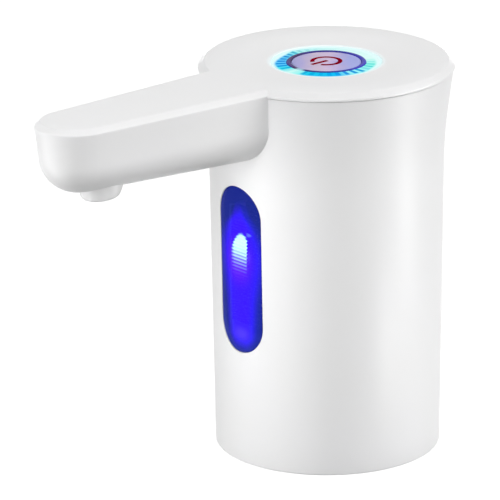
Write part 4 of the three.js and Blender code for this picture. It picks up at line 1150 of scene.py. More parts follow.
@dataclass(frozen=True)
class Studio:
    """White floor, soft lamps, and a world that is white to look at and gives no light."""

    camera_azimuth: float
    floor_reach: float = 4000.0
    floor_drop: float = 0.0002
    floor_tone: float = 0.1
    seen_tone: float = 0.35
    seen_glow: float = 0.9
    lamps: tuple[Lamp, ...] = (
        Lamp("front_box", -20.0, 4.0, 0.9, 0.2, 0.5, 1.84),
        Lamp("right_box", 92.0, 4.0, 0.9, 0.2, 0.5, 2.41),
        Lamp("front_high_box", 0.0, 48.0, 0.9, 0.5, 0.6, 1.88),
        Lamp("left_high_box", -30.0, 34.0, 0.9, 0.5, 0.6, 2.58),
        Lamp("right_high_box", 90.0, 34.0, 0.9, 0.5, 0.6, 2.46),
        Lamp("back_box", 180.0, 48.0, 0.9, 0.5, 0.6, 1.62),
        Lamp("rear_fill", 180.0, 0.0, 0.9, 0.7, 0.09, 1.6, 0.06),
        Lamp("top_box", 0.0, 86.0, 0.9, 0.9, 0.9, 0.6),
        Lamp("left_strip", -80.0, 4.0, 0.32, 0.07, 0.2, 0.2024),
        Lamp("left_low_strip", -60.0, 0.0, 0.2, 0.04, 0.06, 0.0317, 0.03),
        Lamp("right_low_strip", 76.0, 0.0, 0.2, 0.04, 0.06, 0.0459, 0.03),
        Lamp("near_edge_strip", -75.0, 0.0, 0.12, 0.02, 0.16, 0.0076, 0.065),
        Lamp("near_right_foot", 52.0, 0.0, 0.11, 0.02, 0.04, 0.0102, 0.02),
        Lamp("near_left_strip", -36.0, 0.0, 0.1, 0.02, 0.08, 0.0063, 0.045),
        Lamp("near_left_foot", -36.0, 0.0, 0.1, 0.02, 0.04, 0.0018, 0.02),
        Lamp("near_left_top", -30.0, 0.0, 0.11, 0.02, 0.06, 0.001, 0.105),
        Lamp("near_right_top", 52.0, 0.0, 0.11, 0.02, 0.05, 0.0083, 0.105),
    )

    def build(self) -> None:
        """Make the floor, the world and the lamps."""
        self._floor()
        self._world()
        for lamp in self.lamps:
            lamp.build(self.camera_azimuth)

    @staticmethod
    def _where_seen(nodes: Nodes, unseen: Node, seen: Node) -> Signal:
        """Choose a shader for rays from the camera, from gloss or through clear plastic.

        Args:
            nodes: Nodes of the material or world.
            unseen: Shader for all other rays.
            seen: Shader for these rays.

        Returns:
            The chosen shader.
        """
        path = nodes.node("ShaderNodeLightPath")
        share = nodes.math("MAXIMUM", path.outputs["Is Camera Ray"], path.outputs["Is Glossy Ray"])
        share = nodes.math("MAXIMUM", share, path.outputs["Is Transmission Ray"])
        return nodes.fill(nodes.node("ShaderNodeMixShader"), share, unseen.outputs[0], seen.outputs[0])

    def _floor(self) -> None:
        """Make the plain pale floor, which keeps a soft shadow."""
        reach = self.floor_reach
        corners = [(x, y, 0.0) for x, y in oblong(-reach, reach, -reach, reach)]
        floor = mesh_object("floor", corners, [[0, 1, 2, 3]])
        floor.location.z = -self.floor_drop
        material = bpy.data.materials.new("floor_white")
        material.use_nodes = True
        nodes = Nodes(material.node_tree)
        dark, lit = (
            nodes.node("ShaderNodeBsdfDiffuse", Color=(tone, tone, tone, 1.0))
            for tone in (self.floor_tone, self.seen_tone)
        )
        fill = nodes.node("ShaderNodeEmission", Color=WHITE, Strength=self.seen_glow)
        both = nodes.node("ShaderNodeAddShader")
        nodes.fill(both, lit.outputs[0], fill.outputs[0])
        nodes.node("ShaderNodeOutputMaterial", Surface=self._where_seen(nodes, dark, both))
        floor.data.materials.append(material)

    def _world(self) -> None:
        """Make the world, dark for the light it gives and white where it is seen."""
        world = bpy.data.worlds.new("studio_world")
        bpy.context.scene.world = world
        world.use_nodes = True
        nodes = Nodes(world.node_tree)
        dark, white = (nodes.node("ShaderNodeBackground", Color=WHITE, Strength=glow) for glow in (0.0, 1.0))
        nodes.node("ShaderNodeOutputWorld", Surface=self._where_seen(nodes, dark, white))


# The pump


@dataclass(frozen=True)
class Outline:
    """Sizes of the outside of the pump that more than one piece follows, in millimetres."""

    height: float = 124.9
    cover: float = 2.2
    rim_radius: float = 40.03
    rim_overhang: float = 0.35
    base_radius: float = 35.54
    shoulder_radius: float = 36.86
    shoulder_height: float = 101.1
    shoulder_blend: float = 9.0
    wall: float = 2.2
    arm_reach: float = 111.1
    arm_tip: float = 12.34
    arm_depth: float = 19.4
    arm_round: float = 10.49
    arm_round_growth: float = 0.062
    arm_land: float = 0.6
    arm_spread: float = math.radians(2.78)
    arm_draft: float = 0.114
    arm_fall: float = 0.052
    nozzle_y: float = -89.65
    window_half_width: float = 9.8
    window_half_height: float = 27.15
    window_centre: float = 63.75
    port_half_width: float = 4.47
    port_half_height: float = 1.63
    port_height: float = 50.0
    tip_steps: int = 40
    side_steps: int = 30
    trough_steps: int = 18

    @property
    def seam(self) -> float:
        """Height of the seam between body and cover."""
        return self.height - self.cover

    def radius(self, height: float) -> float:
        """Find the outer radius of the body: a slow taper that bends into the flare of the shoulder.

        Args:
            height: Height above the base.

        Returns:
            The radius.
        """
        edge = self.rim_radius - self.rim_overhang
        taper = (self.shoulder_radius - self.base_radius) / self.shoulder_height
        flare = (edge - self.shoulder_radius) / (self.seam - self.shoulder_height)
        past, half = height - self.shoulder_height, self.shoulder_blend
        bend = max(past, 0.0)
        if abs(past) < half:
            bend = (past + half) ** 2 / (4 * half)
        return self.base_radius + taper * height + (flare - taper) * bend

    def arm_floor(self, y: float) -> float:
        """Height of the arm's underside at a place along it."""
        return self.seam - self.arm_depth - self.arm_fall * (y + self.arm_reach)

    def arm_outline(self, inset: float) -> list[Point]:
        """Draw the arm in plan.

        Args:
            inset: How far the outline is drawn in.

        Returns:
            The points from its root at +X round the tip to its root at -X.
        """
        radius = self.arm_tip - inset
        centre = self.arm_tip - self.arm_reach
        tangent_x = radius * math.cos(self.arm_spread)
        tangent_y = centre - radius * math.sin(self.arm_spread)
        root_x = tangent_x - tangent_y * math.tan(self.arm_spread)
        steps = self.side_steps
        side = [(root_x + (tangent_x - root_x) * k / steps, tangent_y * k / steps) for k in range(steps)]
        tip = []
        for k in range(self.tip_steps + 1):
            angle = math.pi + self.arm_spread + (math.pi - 2 * self.arm_spread) * k / self.tip_steps
            tip.append((radius * math.cos(angle), centre + radius * math.sin(angle)))
        return [(-x, y) for x, y in side] + tip + side[::-1]

    def arm_trough(self, name: str, wall: float, top: float) -> Piece:
        """Make the solid of the arm, whose lower edge grows rounder towards the body.

        Args:
            name: Name of the piece.
            wall: How far it is drawn in on all sides but the top.
            top: Height of its top.

        Returns:
            The solid.
        """
        side_inset = self.arm_draft * (self.arm_depth - self.arm_round)
        edge = min(self.arm_round, self.arm_tip - side_inset - self.arm_land) - wall
        tip_centre = self.arm_tip - self.arm_reach
        rings = []
        for k in range(self.trough_steps + 1):
            angle = math.pi / 2 * (1 - k / self.trough_steps)
            inset = wall + side_inset + edge * (1 - math.cos(angle))
            rise = wall + edge * (1 - math.sin(angle))
            ring = []
            for x, y in self.arm_outline(inset):
                growth = self.arm_round_growth * max(y - tip_centre, 0.0)
                aside = math.copysign(max(abs(x) - growth * (1 - math.cos(angle)), 0.0), x)
                ring.append((aside, y, self.arm_floor(y) + rise + growth * (1 - math.sin(angle))))
            rings.append(ring)
        rings.append([(x, y, top) for x, y in self.arm_outline(wall)])
        return lofted(name, rings)

    def wall_point(self, x: float, z: float, depth: float) -> Corner:
        """Point on the front of the body at a place across and a height, sunk by a depth."""
        reach = self.radius(z) - depth
        return (x, -math.sqrt(max(reach * reach - x * x, 0.0)), z)


@dataclass(frozen=True)
class Housing:
    """Body with the spout arm, and the keyhole cover with its rounded edge band."""

    outline: Outline
    sides: int = 320
    outer_levels: tuple[int, ...] = (8, 20, 40, 60, 80, 90, *range(92, 111), 114, 118)
    inner_levels: tuple[float, ...] = (-2.0, 30.0, 60.0, 92.0, 96.0, 101.0, 106.0, 110.0)
    foot_height: float = 0.3
    foot_round: float = 0.5
    overshoot: float = 2.0
    window_lip: float = 0.12
    lip_steps: int = 6
    window_steps: int = 40
    seam_height: float = 0.32
    seam_depth: float = 0.6
    nozzle_hole: float = 6.67
    nozzle_sides: int = 96
    port_cuts: tuple[tuple[str, float, float, float], ...] = (
        ("port_cut", 0.25, 4.2, 0.0), ("recess_cut", 1.6, 0.8, 0.25),
    )
    port_steps: int = 20
    rim_inset: float = 2.39
    arm_inset: float = 1.84
    land: float = 1.6
    ring_opening: float = 17.35
    ring_sides: int = 256
    ring_chamfer: float = 0.35
    dish_radius: float = 33.0
    dish_depth: float = 0.72
    dish_land: float = 0.5
    dish_steps: int = 12

    def build(self, shell: Material) -> None:
        """Make and dress both pieces."""
        settle(self._body(), shell, nodes=("body_shell",), crease=28.0)
        settle(self._cover(), shell, nodes=("top_cover",), crease=24.0)

    def _body(self) -> Piece:
        """Make the body with its arm trough, hollow, window, nozzle hole and charging recess.

        Returns:
            The body.
        """
        o = self.outline
        top = o.seam + self.overshoot
        corners = [(0.0, 0.0, 0.0), (o.base_radius - o.wall, 0.0, self.foot_height)]
        corners += [(o.base_radius, 0.0, self.foot_round)]
        corners += [(o.radius(z), float(z), 0.0) for z in self.outer_levels]
        corners += [(o.radius(o.seam), o.seam, 0.0), (0.0, o.seam, 0.0)]
        body = turned("body_skin", rounded(corners), self.sides)
        combine(body, o.arm_trough("arm", 0.0, o.seam), Cut.JOIN)
        inner = [(0.0, self.inner_levels[0])]
        inner += [(o.radius(z) - o.wall, z) for z in (*self.inner_levels, top)] + [(0.0, top)]
        hollow = turned("hollow", inner, self.sides)
        combine(hollow, o.arm_trough("arm_hollow", o.wall, top), Cut.JOIN)
        floor = o.arm_floor(o.nozzle_y)
        hole = oblong(0.0, self.nozzle_hole, floor - 2.0, floor + 4.0)
        bore = shift(turned("nozzle_hole", hole, self.nozzle_sides), y=o.nozzle_y)
        for cutter in (hollow, self._window_cutter(), bore, *self._port_cutters(), self._seam_cutter()):
            combine(body, cutter, Cut.TAKE)
        return body

    def _seam_cutter(self) -> Piece:
        """Make the shadow gap under the rim, all round the head but not along the arm.

        Returns:
            The cutter.
        """
        o = self.outline
        radius = o.radius(o.seam)
        section = oblong(radius - self.seam_depth, radius + 2, o.seam - self.seam_height, o.seam + 1)
        groove = turned("seam_gap", section, self.sides)
        return combine(groove, o.arm_trough("arm_room", -0.02, o.seam + 2), Cut.TAKE)

    def _window_cutter(self) -> Piece:
        """Make the window opening with a rounded lip that follows the curved wall.

        Returns:
            The cutter.
        """
        o, lip = self.outline, self.window_lip
        turns = [math.pi / 2 * k / self.lip_steps for k in range(self.lip_steps + 1)]
        rounding = [self._window_ring(lip * (1 - math.sin(t)), lip * (1 - math.cos(t))) for t in turns]
        front, back = -o.rim_radius - 4.0, -o.base_radius + o.wall + 4.0
        outside = [(x, front, z) for x, _, z in self._window_ring(lip, 0.0)]
        inside = [(x, back, z) for x, _, z in self._window_ring(0.0, 0.0)]
        return lofted("window_cut", [outside] + rounding + [inside])

    def _window_ring(self, grow: float, depth: float) -> list[Corner]:
        """Draw the edge of the window on the wall.

        Args:
            grow: How much larger it is than the window.
            depth: How deep it is sunk into the wall.

        Returns:
            The points of the closed ring.
        """
        o = self.outline
        shape = stadium(o.window_half_width + grow, o.window_half_height + grow, self.window_steps)
        return [o.wall_point(x, z + o.window_centre, depth) for x, z in shape]

    def _port_cutters(self) -> list[Piece]:
        """Make the charging socket's opening and its shallow recess with a flared edge.

        Returns:
            Both cutters.
        """
        o = self.outline
        rear = o.radius(o.port_height)
        made = []
        for name, grow, depth, flare in self.port_cuts:
            half_x, half_z = o.port_half_width + grow, o.port_half_height + grow
            ring = [(z, x) for x, z in stadium(half_z * 0.98, half_x, self.port_steps)]
            rings = []
            for y, more in ((-depth, 0.0), (-0.3, 0.0), (-0.05, flare), (2.0, flare)):
                wide, tall = 1 + more / half_x, 1 + more / half_z
                rings.append([(x * wide, rear + y, o.port_height + z * tall) for x, z in ring])
            made.append(lofted(name, rings))
        return made

    def _band(self, inset: float) -> list[Point]:
        """Draw the rounded bevel of the cover's edge.

        Args:
            inset: How far in the bevel reaches.

        Returns:
            Points as (inset, height above the seam).
        """
        cover = self.outline.cover
        side = [(0.0, 0.0, 0.0), (0.0, 0.12 * cover, 0.0), (0.0, 0.3 * cover, 0.75)]
        return rounded(side + [(0.86 * inset, cover, 0.8), (inset + self.land, cover, 0.0)], 7)

    def _cover(self) -> Piece:
        """Make the keyhole cover: a round head and the arm's strip, dished towards the light ring.

        Returns:
            The cover.
        """
        o = self.outline
        head = [(0.0, o.seam)]
        head += [(o.rim_radius - inset, o.seam + rise) for inset, rise in self._band(self.rim_inset)]
        cover = turned("cover_skin", head + [(30.0, o.height), (0.0, o.height)], self.sides)
        band = self._band(self.arm_inset)
        rings = [[(x, y, o.seam + rise) for x, y in o.arm_outline(inset)] for inset, rise in band]
        combine(cover, lofted("cover_arm", rings), Cut.JOIN)
        deep = o.height - self.dish_depth
        start = self.ring_opening + self.dish_land
        span = self.dish_radius - self.ring_opening - self.dish_land
        dish = [(0.0, deep)]
        for t in (k / self.dish_steps for k in range(self.dish_steps + 1)):
            dish.append((start + span * t, deep + self.dish_depth * (t * t * (3 - 2 * t)) + 0.0005))
        dish += [(self.dish_radius + 0.5, o.height + 1.0), (0.0, o.height + 1.0)]
        combine(cover, turned("dish", dish, self.sides), Cut.TAKE)
        inner, outer = self.ring_opening, self.ring_opening + 2.0
        low, high = o.seam - 1, deep + 2.0
        lip = [(0.0, low, 0.0), (inner, low, 0.0), (inner, deep, self.ring_chamfer)]
        lip += [(outer, deep + 0.02, 0.0), (outer, high, 0.0), (0.0, high, 0.0)]
        return combine(cover, turned("ring_cut", rounded(lip), self.ring_sides), Cut.TAKE)


@dataclass(frozen=True)
class Nozzle:
    """Short outlet under the end of the arm."""

    outline: Outline
    sides: int = 96
    radius: float = 5.95
    root_radius: float = 6.65
    drop: float = 3.0
    edge: float = 2.6
    bore: float = 3.2
    lean: float = 0.1

    def build(self, shell: Material) -> None:
        """Make and dress the nozzle."""
        settle(self._skin(), shell, nodes=("spout_nozzle",))

    def _skin(self) -> Piece:
        """Make the tapered nozzle, whose mouth leans a little towards the arm's tip.

        Returns:
            The nozzle.
        """
        o = self.outline
        floor = o.arm_floor(o.nozzle_y)
        bottom, top = floor - self.drop, floor + 9.0
        corners = [
            (self.bore, top, 0.0), (self.bore, bottom + 0.6, 0.25), (self.bore + 0.7, bottom, 0.3),
            (self.radius, bottom, self.edge), (self.root_radius, floor, 0.0),
            (self.root_radius, floor + 4.5, 0.0), (self.bore + 2.0, top, 0.0),
        ]
        nozzle = turned("nozzle_skin", rounded(corners, 8), self.sides)
        for vertex in nozzle.data.vertices:
            below = floor * MM - vertex.co.z
            if below > 0:
                vertex.co.z += vertex.co.y * self.lean * below / (self.drop * MM)
                vertex.co.y -= self.lean * below
        return shift(nozzle, y=o.nozzle_y)


@dataclass(frozen=True)
class Controls:
    """Light ring with its ribs, dark bezel, and the button with its power mark."""

    sides: int = 192
    top: float = 124.05
    ring_inner: float = 12.6
    ring_outer: float = 17.15
    ribs: int = 34
    rib_steps: int = 12
    rib_height: float = 0.16
    bezel_inner: float = 10.98
    bezel_outer: float = 12.5
    crown: float = 0.12
    button_radius: float = 10.85
    button_sink: float = 0.05
    face_steps: int = 10
    dome: float = 0.2
    mark_radius: float = 4.35
    mark_width: float = 1.4
    mark_gap: float = 56.0
    mark_section: tuple[Point, ...] = (
        (-1.0, -0.1), (-1.0, 0.02), (-0.6, 0.05), (0.6, 0.05), (1.0, 0.02), (1.0, -0.1),
    )
    arc_steps: int = 60
    bar_steps: int = 12
    bar_start: float = 0.4
    bar_length: float = 6.4

    def build(self, ring: Material, bezel: Material, button: Material, mark: Material) -> None:
        """Make and dress the four pieces.

        Args:
            ring: Finish of the light ring.
            bezel: Finish of the bezel.
            button: Finish of the button.
            mark: Finish of its power mark.
        """
        settle(self._ring(), ring, nodes=("light_ring",))
        settle(self._bezel(), bezel, nodes=("button_bezel",))
        settle(self._button(), button, "button", ("button_cap",))
        settle(self._mark(), mark, "button")

    def _ring(self) -> Piece:
        """Make the ring, with a fine radial rib over each dark tick.

        Returns:
            The ring.
        """
        top, inner, outer = self.top, self.ring_inner, self.ring_outer
        sides = self.ribs * self.rib_steps
        rows = [(inner, top - 3.0, 0.0), (inner, top - 0.15, 0.0), (inner + 0.15, top, 0.0)]
        rows += [(inner + 0.5, top, 0.4), (outer - 1.2, top, 0.4), (outer - 0.6, top + 0.02, 0.0)]
        rows += [(outer - 0.15, top, 0.0), (outer, top - 0.2, 0.0), (outer, top - 3.0, 0.0)]
        rings = []
        for radius, height, share in rows:
            ring = []
            for k, (x, y, z) in enumerate(circle(radius, height, sides)):
                wave = 0.5 - 0.5 * math.cos(FULL_TURN * k / self.rib_steps)
                ring.append((x, y, z - self.rib_height * share * wave))
            rings.append(ring)
        return tube("light_ring_skin", rings)

    def _bezel(self) -> Piece:
        """Make the narrow ring with a rounded crown.

        Returns:
            The bezel.
        """
        top, inner, outer = self.top, self.bezel_inner, self.bezel_outer
        corners = [(inner, top - 3.0, 0.0), (inner, top - 0.1, 0.2), (inner + 0.4, top + self.crown, 0.3)]
        corners += [(outer - 0.35, top + self.crown, 0.3), (outer, top - 0.2, 0.2), (outer, top - 3.0, 0.0)]
        return turned("bezel_skin", rounded(corners, 5), self.sides)

    def _button(self) -> Piece:
        """Make the cap with a slightly domed face and a rounded rim.

        Returns:
            The button.
        """
        top, radius = self.top, self.button_radius
        shares = [1 - k / self.face_steps for k in range(1, self.face_steps + 1)]
        face = [(radius * share, top - self.button_sink + self.dome * (1 - share**2)) for share in shares]
        corners = [(radius, top - 2.6, 0.0), (radius, top - self.button_sink, 0.35), (*face[0], 0.0)]
        return turned("button_skin", rounded(corners) + face[1:] + [(0.0, top - 2.6)], self.sides)

    def _mark(self) -> Piece:
        """Make the power mark: an open arc and a bar from its middle, towards the arm.

        Returns:
            The mark.
        """
        gap = math.radians(self.mark_gap) / 2
        first, last = -math.pi / 2 + gap, 3 * math.pi / 2 - gap
        turns = [first + (last - first) * k / self.arc_steps for k in range(self.arc_steps + 1)]
        arc = [(self.mark_radius * math.cos(t), self.mark_radius * math.sin(t)) for t in turns]
        steps = range(self.bar_steps + 1)
        bar = [(0.0, self.bar_start - self.bar_length * k / self.bar_steps) for k in steps]
        return lofted("power_mark", self._ribbon(arc), self._ribbon(bar))

    def _ribbon(self, path: Sequence[Point]) -> list[list[Corner]]:
        """Lay a low strip on the button's face.

        Args:
            path: Points of its middle line.

        Returns:
            One ring of points for each point of the path.
        """
        rings = []
        for i, (x, y) in enumerate(path):
            ahead = Vector(path[min(i + 1, len(path) - 1)]) - Vector(path[max(i - 1, 0)])
            side = Vector((-ahead.y, ahead.x)).normalized() * (self.mark_width / 2)
            ring = []
            for across, lift in self.mark_section:
                px, py = x + side.x * across, y + side.y * across
                share = min(math.hypot(px, py) / self.button_radius, 1.0)
                ring.append((px, py, self.top - self.button_sink + self.dome * (1 - share * share) + lift))
            rings.append(ring)
        return rings


@dataclass(frozen=True)
class Window:
    """Blue lens, and the ribbed light plate behind it."""

    outline: Outline
    gap: float = 0.05
    sink: float = 0.1
    thickness: float = 2.1
    steps: int = 26
    back_shares: tuple[float, ...] = (0.02, 0.3, 0.6, 0.85, 0.97)
    front_shares: tuple[float, ...] = (0.965, 0.85, 0.6, 0.3, 0.02)
    rib_pitch: float = 1.1
    rib_steps: int = 8
    rib_depth: float = 0.5
    plate_half_width: float = 7.0

    def build(self, lens: Material, guide: Material) -> None:
        """Make and dress the lens and the light plate, which cast no light on other pieces.

        Args:
            lens: Finish of the lens.
            guide: Finish of the light plate.
        """
        pane, plate = self._lens(), self._plate()
        settle(pane, lens, nodes=("window_lens",))
        settle(plate, guide, nodes=("window_light_plate",), crease=20.0)
        for piece in (pane, plate):
            piece.visible_diffuse = piece.visible_glossy = False

    def _lens(self) -> Piece:
        """Make the lens, which follows the curved wall and has a rounded front edge.

        Returns:
            The lens.
        """
        o, back = self.outline, self.sink + self.thickness
        levels = [(share, back) for share in self.back_shares]
        levels += [(1.0, back), (1.0, self.sink + 0.3), (0.99, self.sink + 0.12)]
        levels += [(share, self.sink) for share in self.front_shares]
        edge = stadium(o.window_half_width - self.gap, o.window_half_height - self.gap, self.steps)
        rings = []
        for share, depth in levels:
            rings.append([o.wall_point(x * share, o.window_centre + z * share, depth) for x, z in edge])
        return lofted("lens_skin", rings)

    def _plate(self) -> Piece:
        """Make the light plate, with rounded ribs across its front.

        Returns:
            The plate.
        """
        low, high = (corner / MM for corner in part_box("window_light_plate"))
        profile = [(high.y, low.z)]
        for i in range(round((high.z - low.z) / self.rib_pitch)):
            for t in (k / self.rib_steps for k in range(self.rib_steps)):
                sunk = self.rib_depth * (1 - math.sin(math.pi * t))
                profile.append((low.y + sunk, low.z + self.rib_pitch * (i + t)))
        profile += [(low.y + self.rib_depth, high.z), (high.y, high.z)]
        places = [self.plate_half_width * share for share in (-1.0, -0.5, 0.0, 0.5, 1.0)]
        return lofted("light_plate_skin", [[(x, y, z) for y, z in profile] for x in places])


@dataclass(frozen=True)
class Socket:
    """Underside: floor, hose fitting, floor screws and the soft collar."""

    collar_radius: float = 33.09
    collar_wall: float = 1.6
    collar_sides: int = 360
    collar_levels: tuple[Point, ...] = ((1.5, 0.9), (1.8, 0.3), (2.6, 0.0), (16.0, 0.0), (29.9, 0.0))
    ribs: int = 12
    rib_reach: float = 2.6
    rib_half_width: float = 2.2
    seat: float = 30.0
    floor_corners: tuple[Corner, ...] = (
        (5.45, 30.05, 0.0), (5.45, 30.0, 0.0), (8.0, 30.0, 0.2), (8.0, 29.6, 0.15),
        (9.2, 29.6, 0.15), (9.2, 30.0, 0.2), (28.0, 30.0, 0.2), (28.0, 30.25, 0.1),
        (33.3, 30.25, 0.0), (33.3, 32.4, 0.0), (5.45, 32.4, 0.0),
    )
    floor_sides: int = 192
    mouth_corners: tuple[Corner, ...] = (
        (1.9, 38.0, 0.0), (1.9, 15.4, 0.2), (2.3, 15.0, 0.2), (3.7, 15.0, 0.3),
    )
    barb_starts: tuple[float, ...] = (15.0, 18.75, 22.5)
    barb_radius: float = 4.66
    stem_radius: float = 4.0
    barb_sides: int = 96
    screw_head: float = 2.25
    screw_shank: float = 1.1
    screw_sides: int = 48
    slot_half_length: float = 1.15
    slot_half_width: float = 0.25
    screw_turns: tuple[float, ...] = (20.0, 67.0, 114.0)

    def build(self, shell: Material, soft: Material, zinc: Material) -> None:
        """Make and dress the pieces seen from below.

        Args:
            shell: Finish of the floor and the hose fitting.
            soft: Finish of the collar.
            zinc: Finish of the screws.
        """
        settle(self._collar(), soft, nodes=("neck_collar",))
        settle(self._floor(), shell, nodes=("base_floor",))
        settle(self._barb(), shell, nodes=("inlet_barb",))
        for i in range(len(self.screw_turns)):
            settle(self._screw(i), zinc, nodes=(f"floor_screw_{i + 1}",))

    def _collar(self) -> Piece:
        """Make the sleeve with its rounded upright ribs, which taper out at the lower edge.

        Returns:
            The collar.
        """
        outer, inner, sides = self.collar_radius, self.collar_radius - self.collar_wall, self.collar_sides
        rings = []
        for height, tuck in self.collar_levels:
            ring = []
            for angle in (FULL_TURN * k / sides for k in range(sides)):
                share = abs((angle * self.ribs / FULL_TURN + 0.5) % 1.0 - 0.5)
                near = share * FULL_TURN / self.ribs * inner
                crest = math.cos(math.pi * min(near / self.rib_half_width, 1.0))
                rib = self.rib_reach * (0.5 + 0.5 * crest)
                inside = inner - max(rib - tuck, 0.0) + tuck * 0.3
                ring.append((inside * math.cos(angle), inside * math.sin(angle), height))
            rings.append(ring)
        bottom, top = self.collar_levels[0][0], self.collar_levels[-1][0]
        return tube("collar_skin", rings + [circle(outer, top, sides), circle(outer, bottom, sides)])

    def _floor(self) -> Piece:
        """Floor with a moulded ring round the fitting and a low step near its rim."""
        return turned("floor_skin", rounded(self.floor_corners, 4), self.floor_sides)

    def _barb(self) -> Piece:
        """Make the hose fitting with its barbs and its bore.

        Returns:
            The hose fitting.
        """
        outer, stem = self.barb_radius, self.stem_radius
        corners = [*self.mouth_corners]
        for low in self.barb_starts:
            corners += [(outer, low + 3.4, 0.15), (outer, low + 3.75, 0.1), (stem, low + 3.8, 0.1)]
        corners += [(stem, 31.0, 0.0), (stem, 38.0, 0.0)]
        return turned("hose_fitting", rounded(corners, 4), self.barb_sides)

    def _screw(self, index: int) -> Piece:
        """Make a pan-head screw with a cross recess.

        Args:
            index: Number of the screw, from 0.

        Returns:
            The screw, in place.
        """
        low, high = (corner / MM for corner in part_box(f"floor_screw_{index + 1}"))
        middle = (low + high) / 2
        seat, head, shank = self.seat, self.screw_head, self.screw_shank
        corners = [(0.0, seat - 1.5, 0.0), (1.3, seat - 1.45, 0.8), (head, seat - 0.75, 0.5)]
        corners += [(head, seat, 0.0), (shank, seat, 0.0), (shank, high.z - 1.2, 0.0), (0.0, high.z, 0.0)]
        screw = turned(f"floor_screw_skin_{index + 1}", rounded(corners, 5), self.screw_sides)
        length, width = self.slot_half_length, self.slot_half_width
        for angle in (0, 90):
            section = oblong(-length, length, -width, width)
            slot = lofted("slot", [[(x, y, z) for x, y in section] for z in (seat - 2.0, seat - 0.75)])
            combine(screw, turn(slot, angle), Cut.TAKE)
        return shift(turn(screw, self.screw_turns[index]), middle.x, middle.y)


@dataclass(frozen=True)
class ChargingPort:
    """Rounded metal sleeve with its tongue and contacts, in the recess at the rear."""

    outline: Outline
    sleeve_steps: int = 16
    tongue_half_width: float = 3.35
    tongue_half_height: float = 0.35
    contacts: int = 8
    first_contact: float = -2.45
    contact_pitch: float = 0.7
    contact_half_width: float = 0.13
    contact_half_height: float = 0.02
    contact_lift: float = 0.36
    nose: float = 0.15
    nose_share: float = 0.8

    def build(self, metal: Material, black: Material, contact: Material) -> None:
        """Make and dress the sleeve, the tongue and its contacts.

        Args:
            metal: Finish of the sleeve.
            black: Finish of the tongue.
            contact: Finish of the contacts.
        """
        low, high = (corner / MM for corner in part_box("usb_port"))
        mouth, back = high.y, low.y
        settle(self._sleeve(back, mouth), metal, nodes=("usb_port",))
        half = (self.tongue_half_width, self.tongue_half_height)
        settle(self._bar("port_tongue", half, back + 0.4, mouth - 0.7), black)
        half = (self.contact_half_width, self.contact_half_height)
        for i in range(self.contacts):
            pad = self._bar(f"port_contact_{i + 1}", half, back + 2.0, mouth - 1.0)
            shift(pad, x=self.first_contact + self.contact_pitch * i, z=self.contact_lift)
            settle(pad, contact)

    def _sleeve(self, back: float, mouth: float) -> Piece:
        """Make the sleeve of drawn sheet with a rolled mouth.

        Args:
            back: Where it starts, along Y.
            mouth: Where it opens.

        Returns:
            The sleeve.
        """
        o = self.outline
        levels = [(back, 0.0), (mouth - 0.1, 0.0), (mouth, 0.08), (mouth, 0.25)]
        rings = []
        for y, inset in levels + [(mouth - 0.12, 0.35), (back + 0.7, 0.35)]:
            ring = stadium(o.port_half_height - inset, o.port_half_width - inset, self.sleeve_steps)
            rings.append([(z, y, o.port_height + x) for x, z in ring])
        return lofted("port_sleeve", rings)

    def _bar(self, name: str, half: Point, start: float, end: float) -> Piece:
        """Make a bar along Y with a bevelled nose.

        Args:
            name: Name of the piece.
            half: Half its width and half its height.
            start: Where it starts.
            end: Where its nose ends.

        Returns:
            The bar.
        """
        rings = []
        for y, shrink in ((start, 1.0), (end - self.nose, 1.0), (end, self.nose_share)):
            x, z = half[0] * shrink, half[1] * shrink
            rings.append([(px, y, self.outline.port_height + pz) for px, pz in oblong(-x, x, -z, z)])
        return lofted(name, rings)


@dataclass(frozen=True)
class InnerParts:
    """Pieces inside the housing, which keep their CAD shape and take a finish by material slot."""

    finishes: dict[str, Material]
    crease: float = 35.0

    def dress(self) -> None:
        """Give every CAD node the finish of its slot."""
        slots = {row["node"]: row["material_slot"] for row in frame["record"]["subparts"]}
        for name, node in frame["nodes"].items():
            shade(node, self.finishes[slots[name]], self.crease)
        LOG.info("%d CAD nodes dressed", len(frame["nodes"]))


# The button's own pale lavender, with a painted reflection that shifts it from grey-pink on one side to blue
# on the other.
BUTTON_COLOURS_AND_REFLECTION: Stops = (
    (0.0, 176, 179, 236), (0.16, 197, 190, 242), (0.34, 226, 209, 234), (0.55, 232, 211, 246),
    (0.72, 200, 193, 246), (0.85, 184, 191, 254), (1.0, 184, 193, 255),
)
BEZEL_COLOURS: Stops = (
    (0.0, 74, 58, 150), (0.1, 84, 60, 110), (0.3, 58, 52, 140),
    (0.7, 52, 54, 164), (0.92, 70, 66, 196), (1.0, 66, 64, 200),
)
# Painted light: a pale band of the ring's light spilled onto the bezel round one part of the turn.
BEZEL_PAINTED_SPILL: Stops = ((0.24, 0.0), (0.262, 0.8), (0.28, 0.8), (0.297, 0.0))

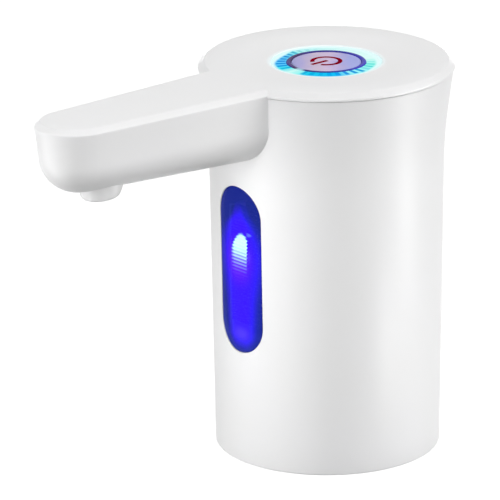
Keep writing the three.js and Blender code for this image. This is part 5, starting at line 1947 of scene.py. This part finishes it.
MARK_INK = MouldedPlastic("mark_ink", (164, 2, 36), (140, 0, 30), (0.4, 0.5), specular=0.0)
FINISHES: dict[str, Finish] = {
    "inner_plastic": MouldedPlastic(
        "inner_moulding", (216, 216, 210), (202, 202, 196), (0.42, 0.55), Grain(share=0.6, bump=0.1)
    ),
    "board": MouldedPlastic("solder_mask", (20, 96, 58), (12, 70, 42), (0.3, 0.42), Grain(400.0, bump=0.15)),
    "black_plastic": MouldedPlastic(
        "black_moulding", (30, 30, 33), (20, 20, 22), (0.38, 0.5), Grain(share=0.7, bump=0.2)
    ),
    "lamp": MouldedPlastic("lamp_resin", (255, 246, 206), (248, 226, 150), (0.1, 0.18)),
    "seal_rubber": MouldedPlastic(
        "seal_rubber", (42, 42, 44), (32, 32, 34), (0.6, 0.75), Grain(share=0.9, bump=0.25)
    ),
    "silicone": MouldedPlastic(
        "milky_silicone", (226, 230, 233), (212, 217, 221), (0.4, 0.52), Grain(share=0.5, bump=0.08)
    ),
    "gear_plastic": MouldedPlastic(
        "natural_acetal", (232, 228, 214), (220, 215, 198), (0.35, 0.45), Grain(share=0.4, bump=0.08)
    ),
    "cell_wrap": MouldedPlastic("cell_wrap", (52, 126, 196), (38, 100, 168), (0.2, 0.3), coat=0.4),
    "red_sleeve": MouldedPlastic("red_sleeve", (176, 28, 26), (150, 20, 20), (0.35, 0.45)),
    "black_sleeve": MouldedPlastic("black_sleeve", (28, 28, 30), (20, 20, 22), (0.35, 0.45)),
    "steel": DrawnMetal("drawn_steel", (206, 208, 212), (176, 178, 183)),
    "zinc": DrawnMetal(
        "zinc_plate", (186, 190, 196), (152, 156, 164), (0.3, 0.48), across=1400.0, along=1400.0
    ),
    "brass": DrawnMetal("brass_strip", (214, 178, 94), (184, 146, 66), (0.25, 0.4)),
    "ferrite": DrawnMetal(
        "ferrite", (52, 52, 56), (38, 38, 42), (0.55, 0.75), 0.2, across=900.0, along=900.0
    ),
    "shell": GlowingShell(),
    "window_plastic": TintedLens(),
    "plate_plastic": GuideLight(),
    "ring_plastic": RingLight(),
    "button_plastic": SideGradientPaint("button_paint", BUTTON_COLOURS_AND_REFLECTION, 22.0, specular=0.02),
    "bezel_plastic": SideGradientPaint(
        "bezel_paint", BEZEL_COLOURS, 25.0, roughness=(0.2, 0.28), specular=0.03, painted_spill_shares=BEZEL_PAINTED_SPILL
    ),
}


def main() -> None:
    """Build the pump piece by piece over its CAD frame."""
    logging.basicConfig(level=logging.INFO, format="%(message)s")
    bpy.context.scene.view_settings.view_transform = "Standard"
    camera = PhotoCamera()
    camera.build()
    Studio(camera.azimuth).build()
    effects = Effects()
    made = {slot: finish.build(effects) for slot, finish in FINISHES.items()}
    InnerParts(made).dress()
    outline = Outline()
    Housing(outline).build(made["shell"])
    Nozzle(outline).build(made["shell"])
    mark = MARK_INK.build(effects)
    Controls().build(made["ring_plastic"], made["bezel_plastic"], made["button_plastic"], mark)
    Window(outline).build(made["window_plastic"], made["plate_plastic"])
    Socket().build(made["shell"], made["silicone"], made["zinc"])
    ChargingPort(outline).build(made["steel"], made["black_plastic"], made["brass"])


if __name__ == "__main__":
    main()
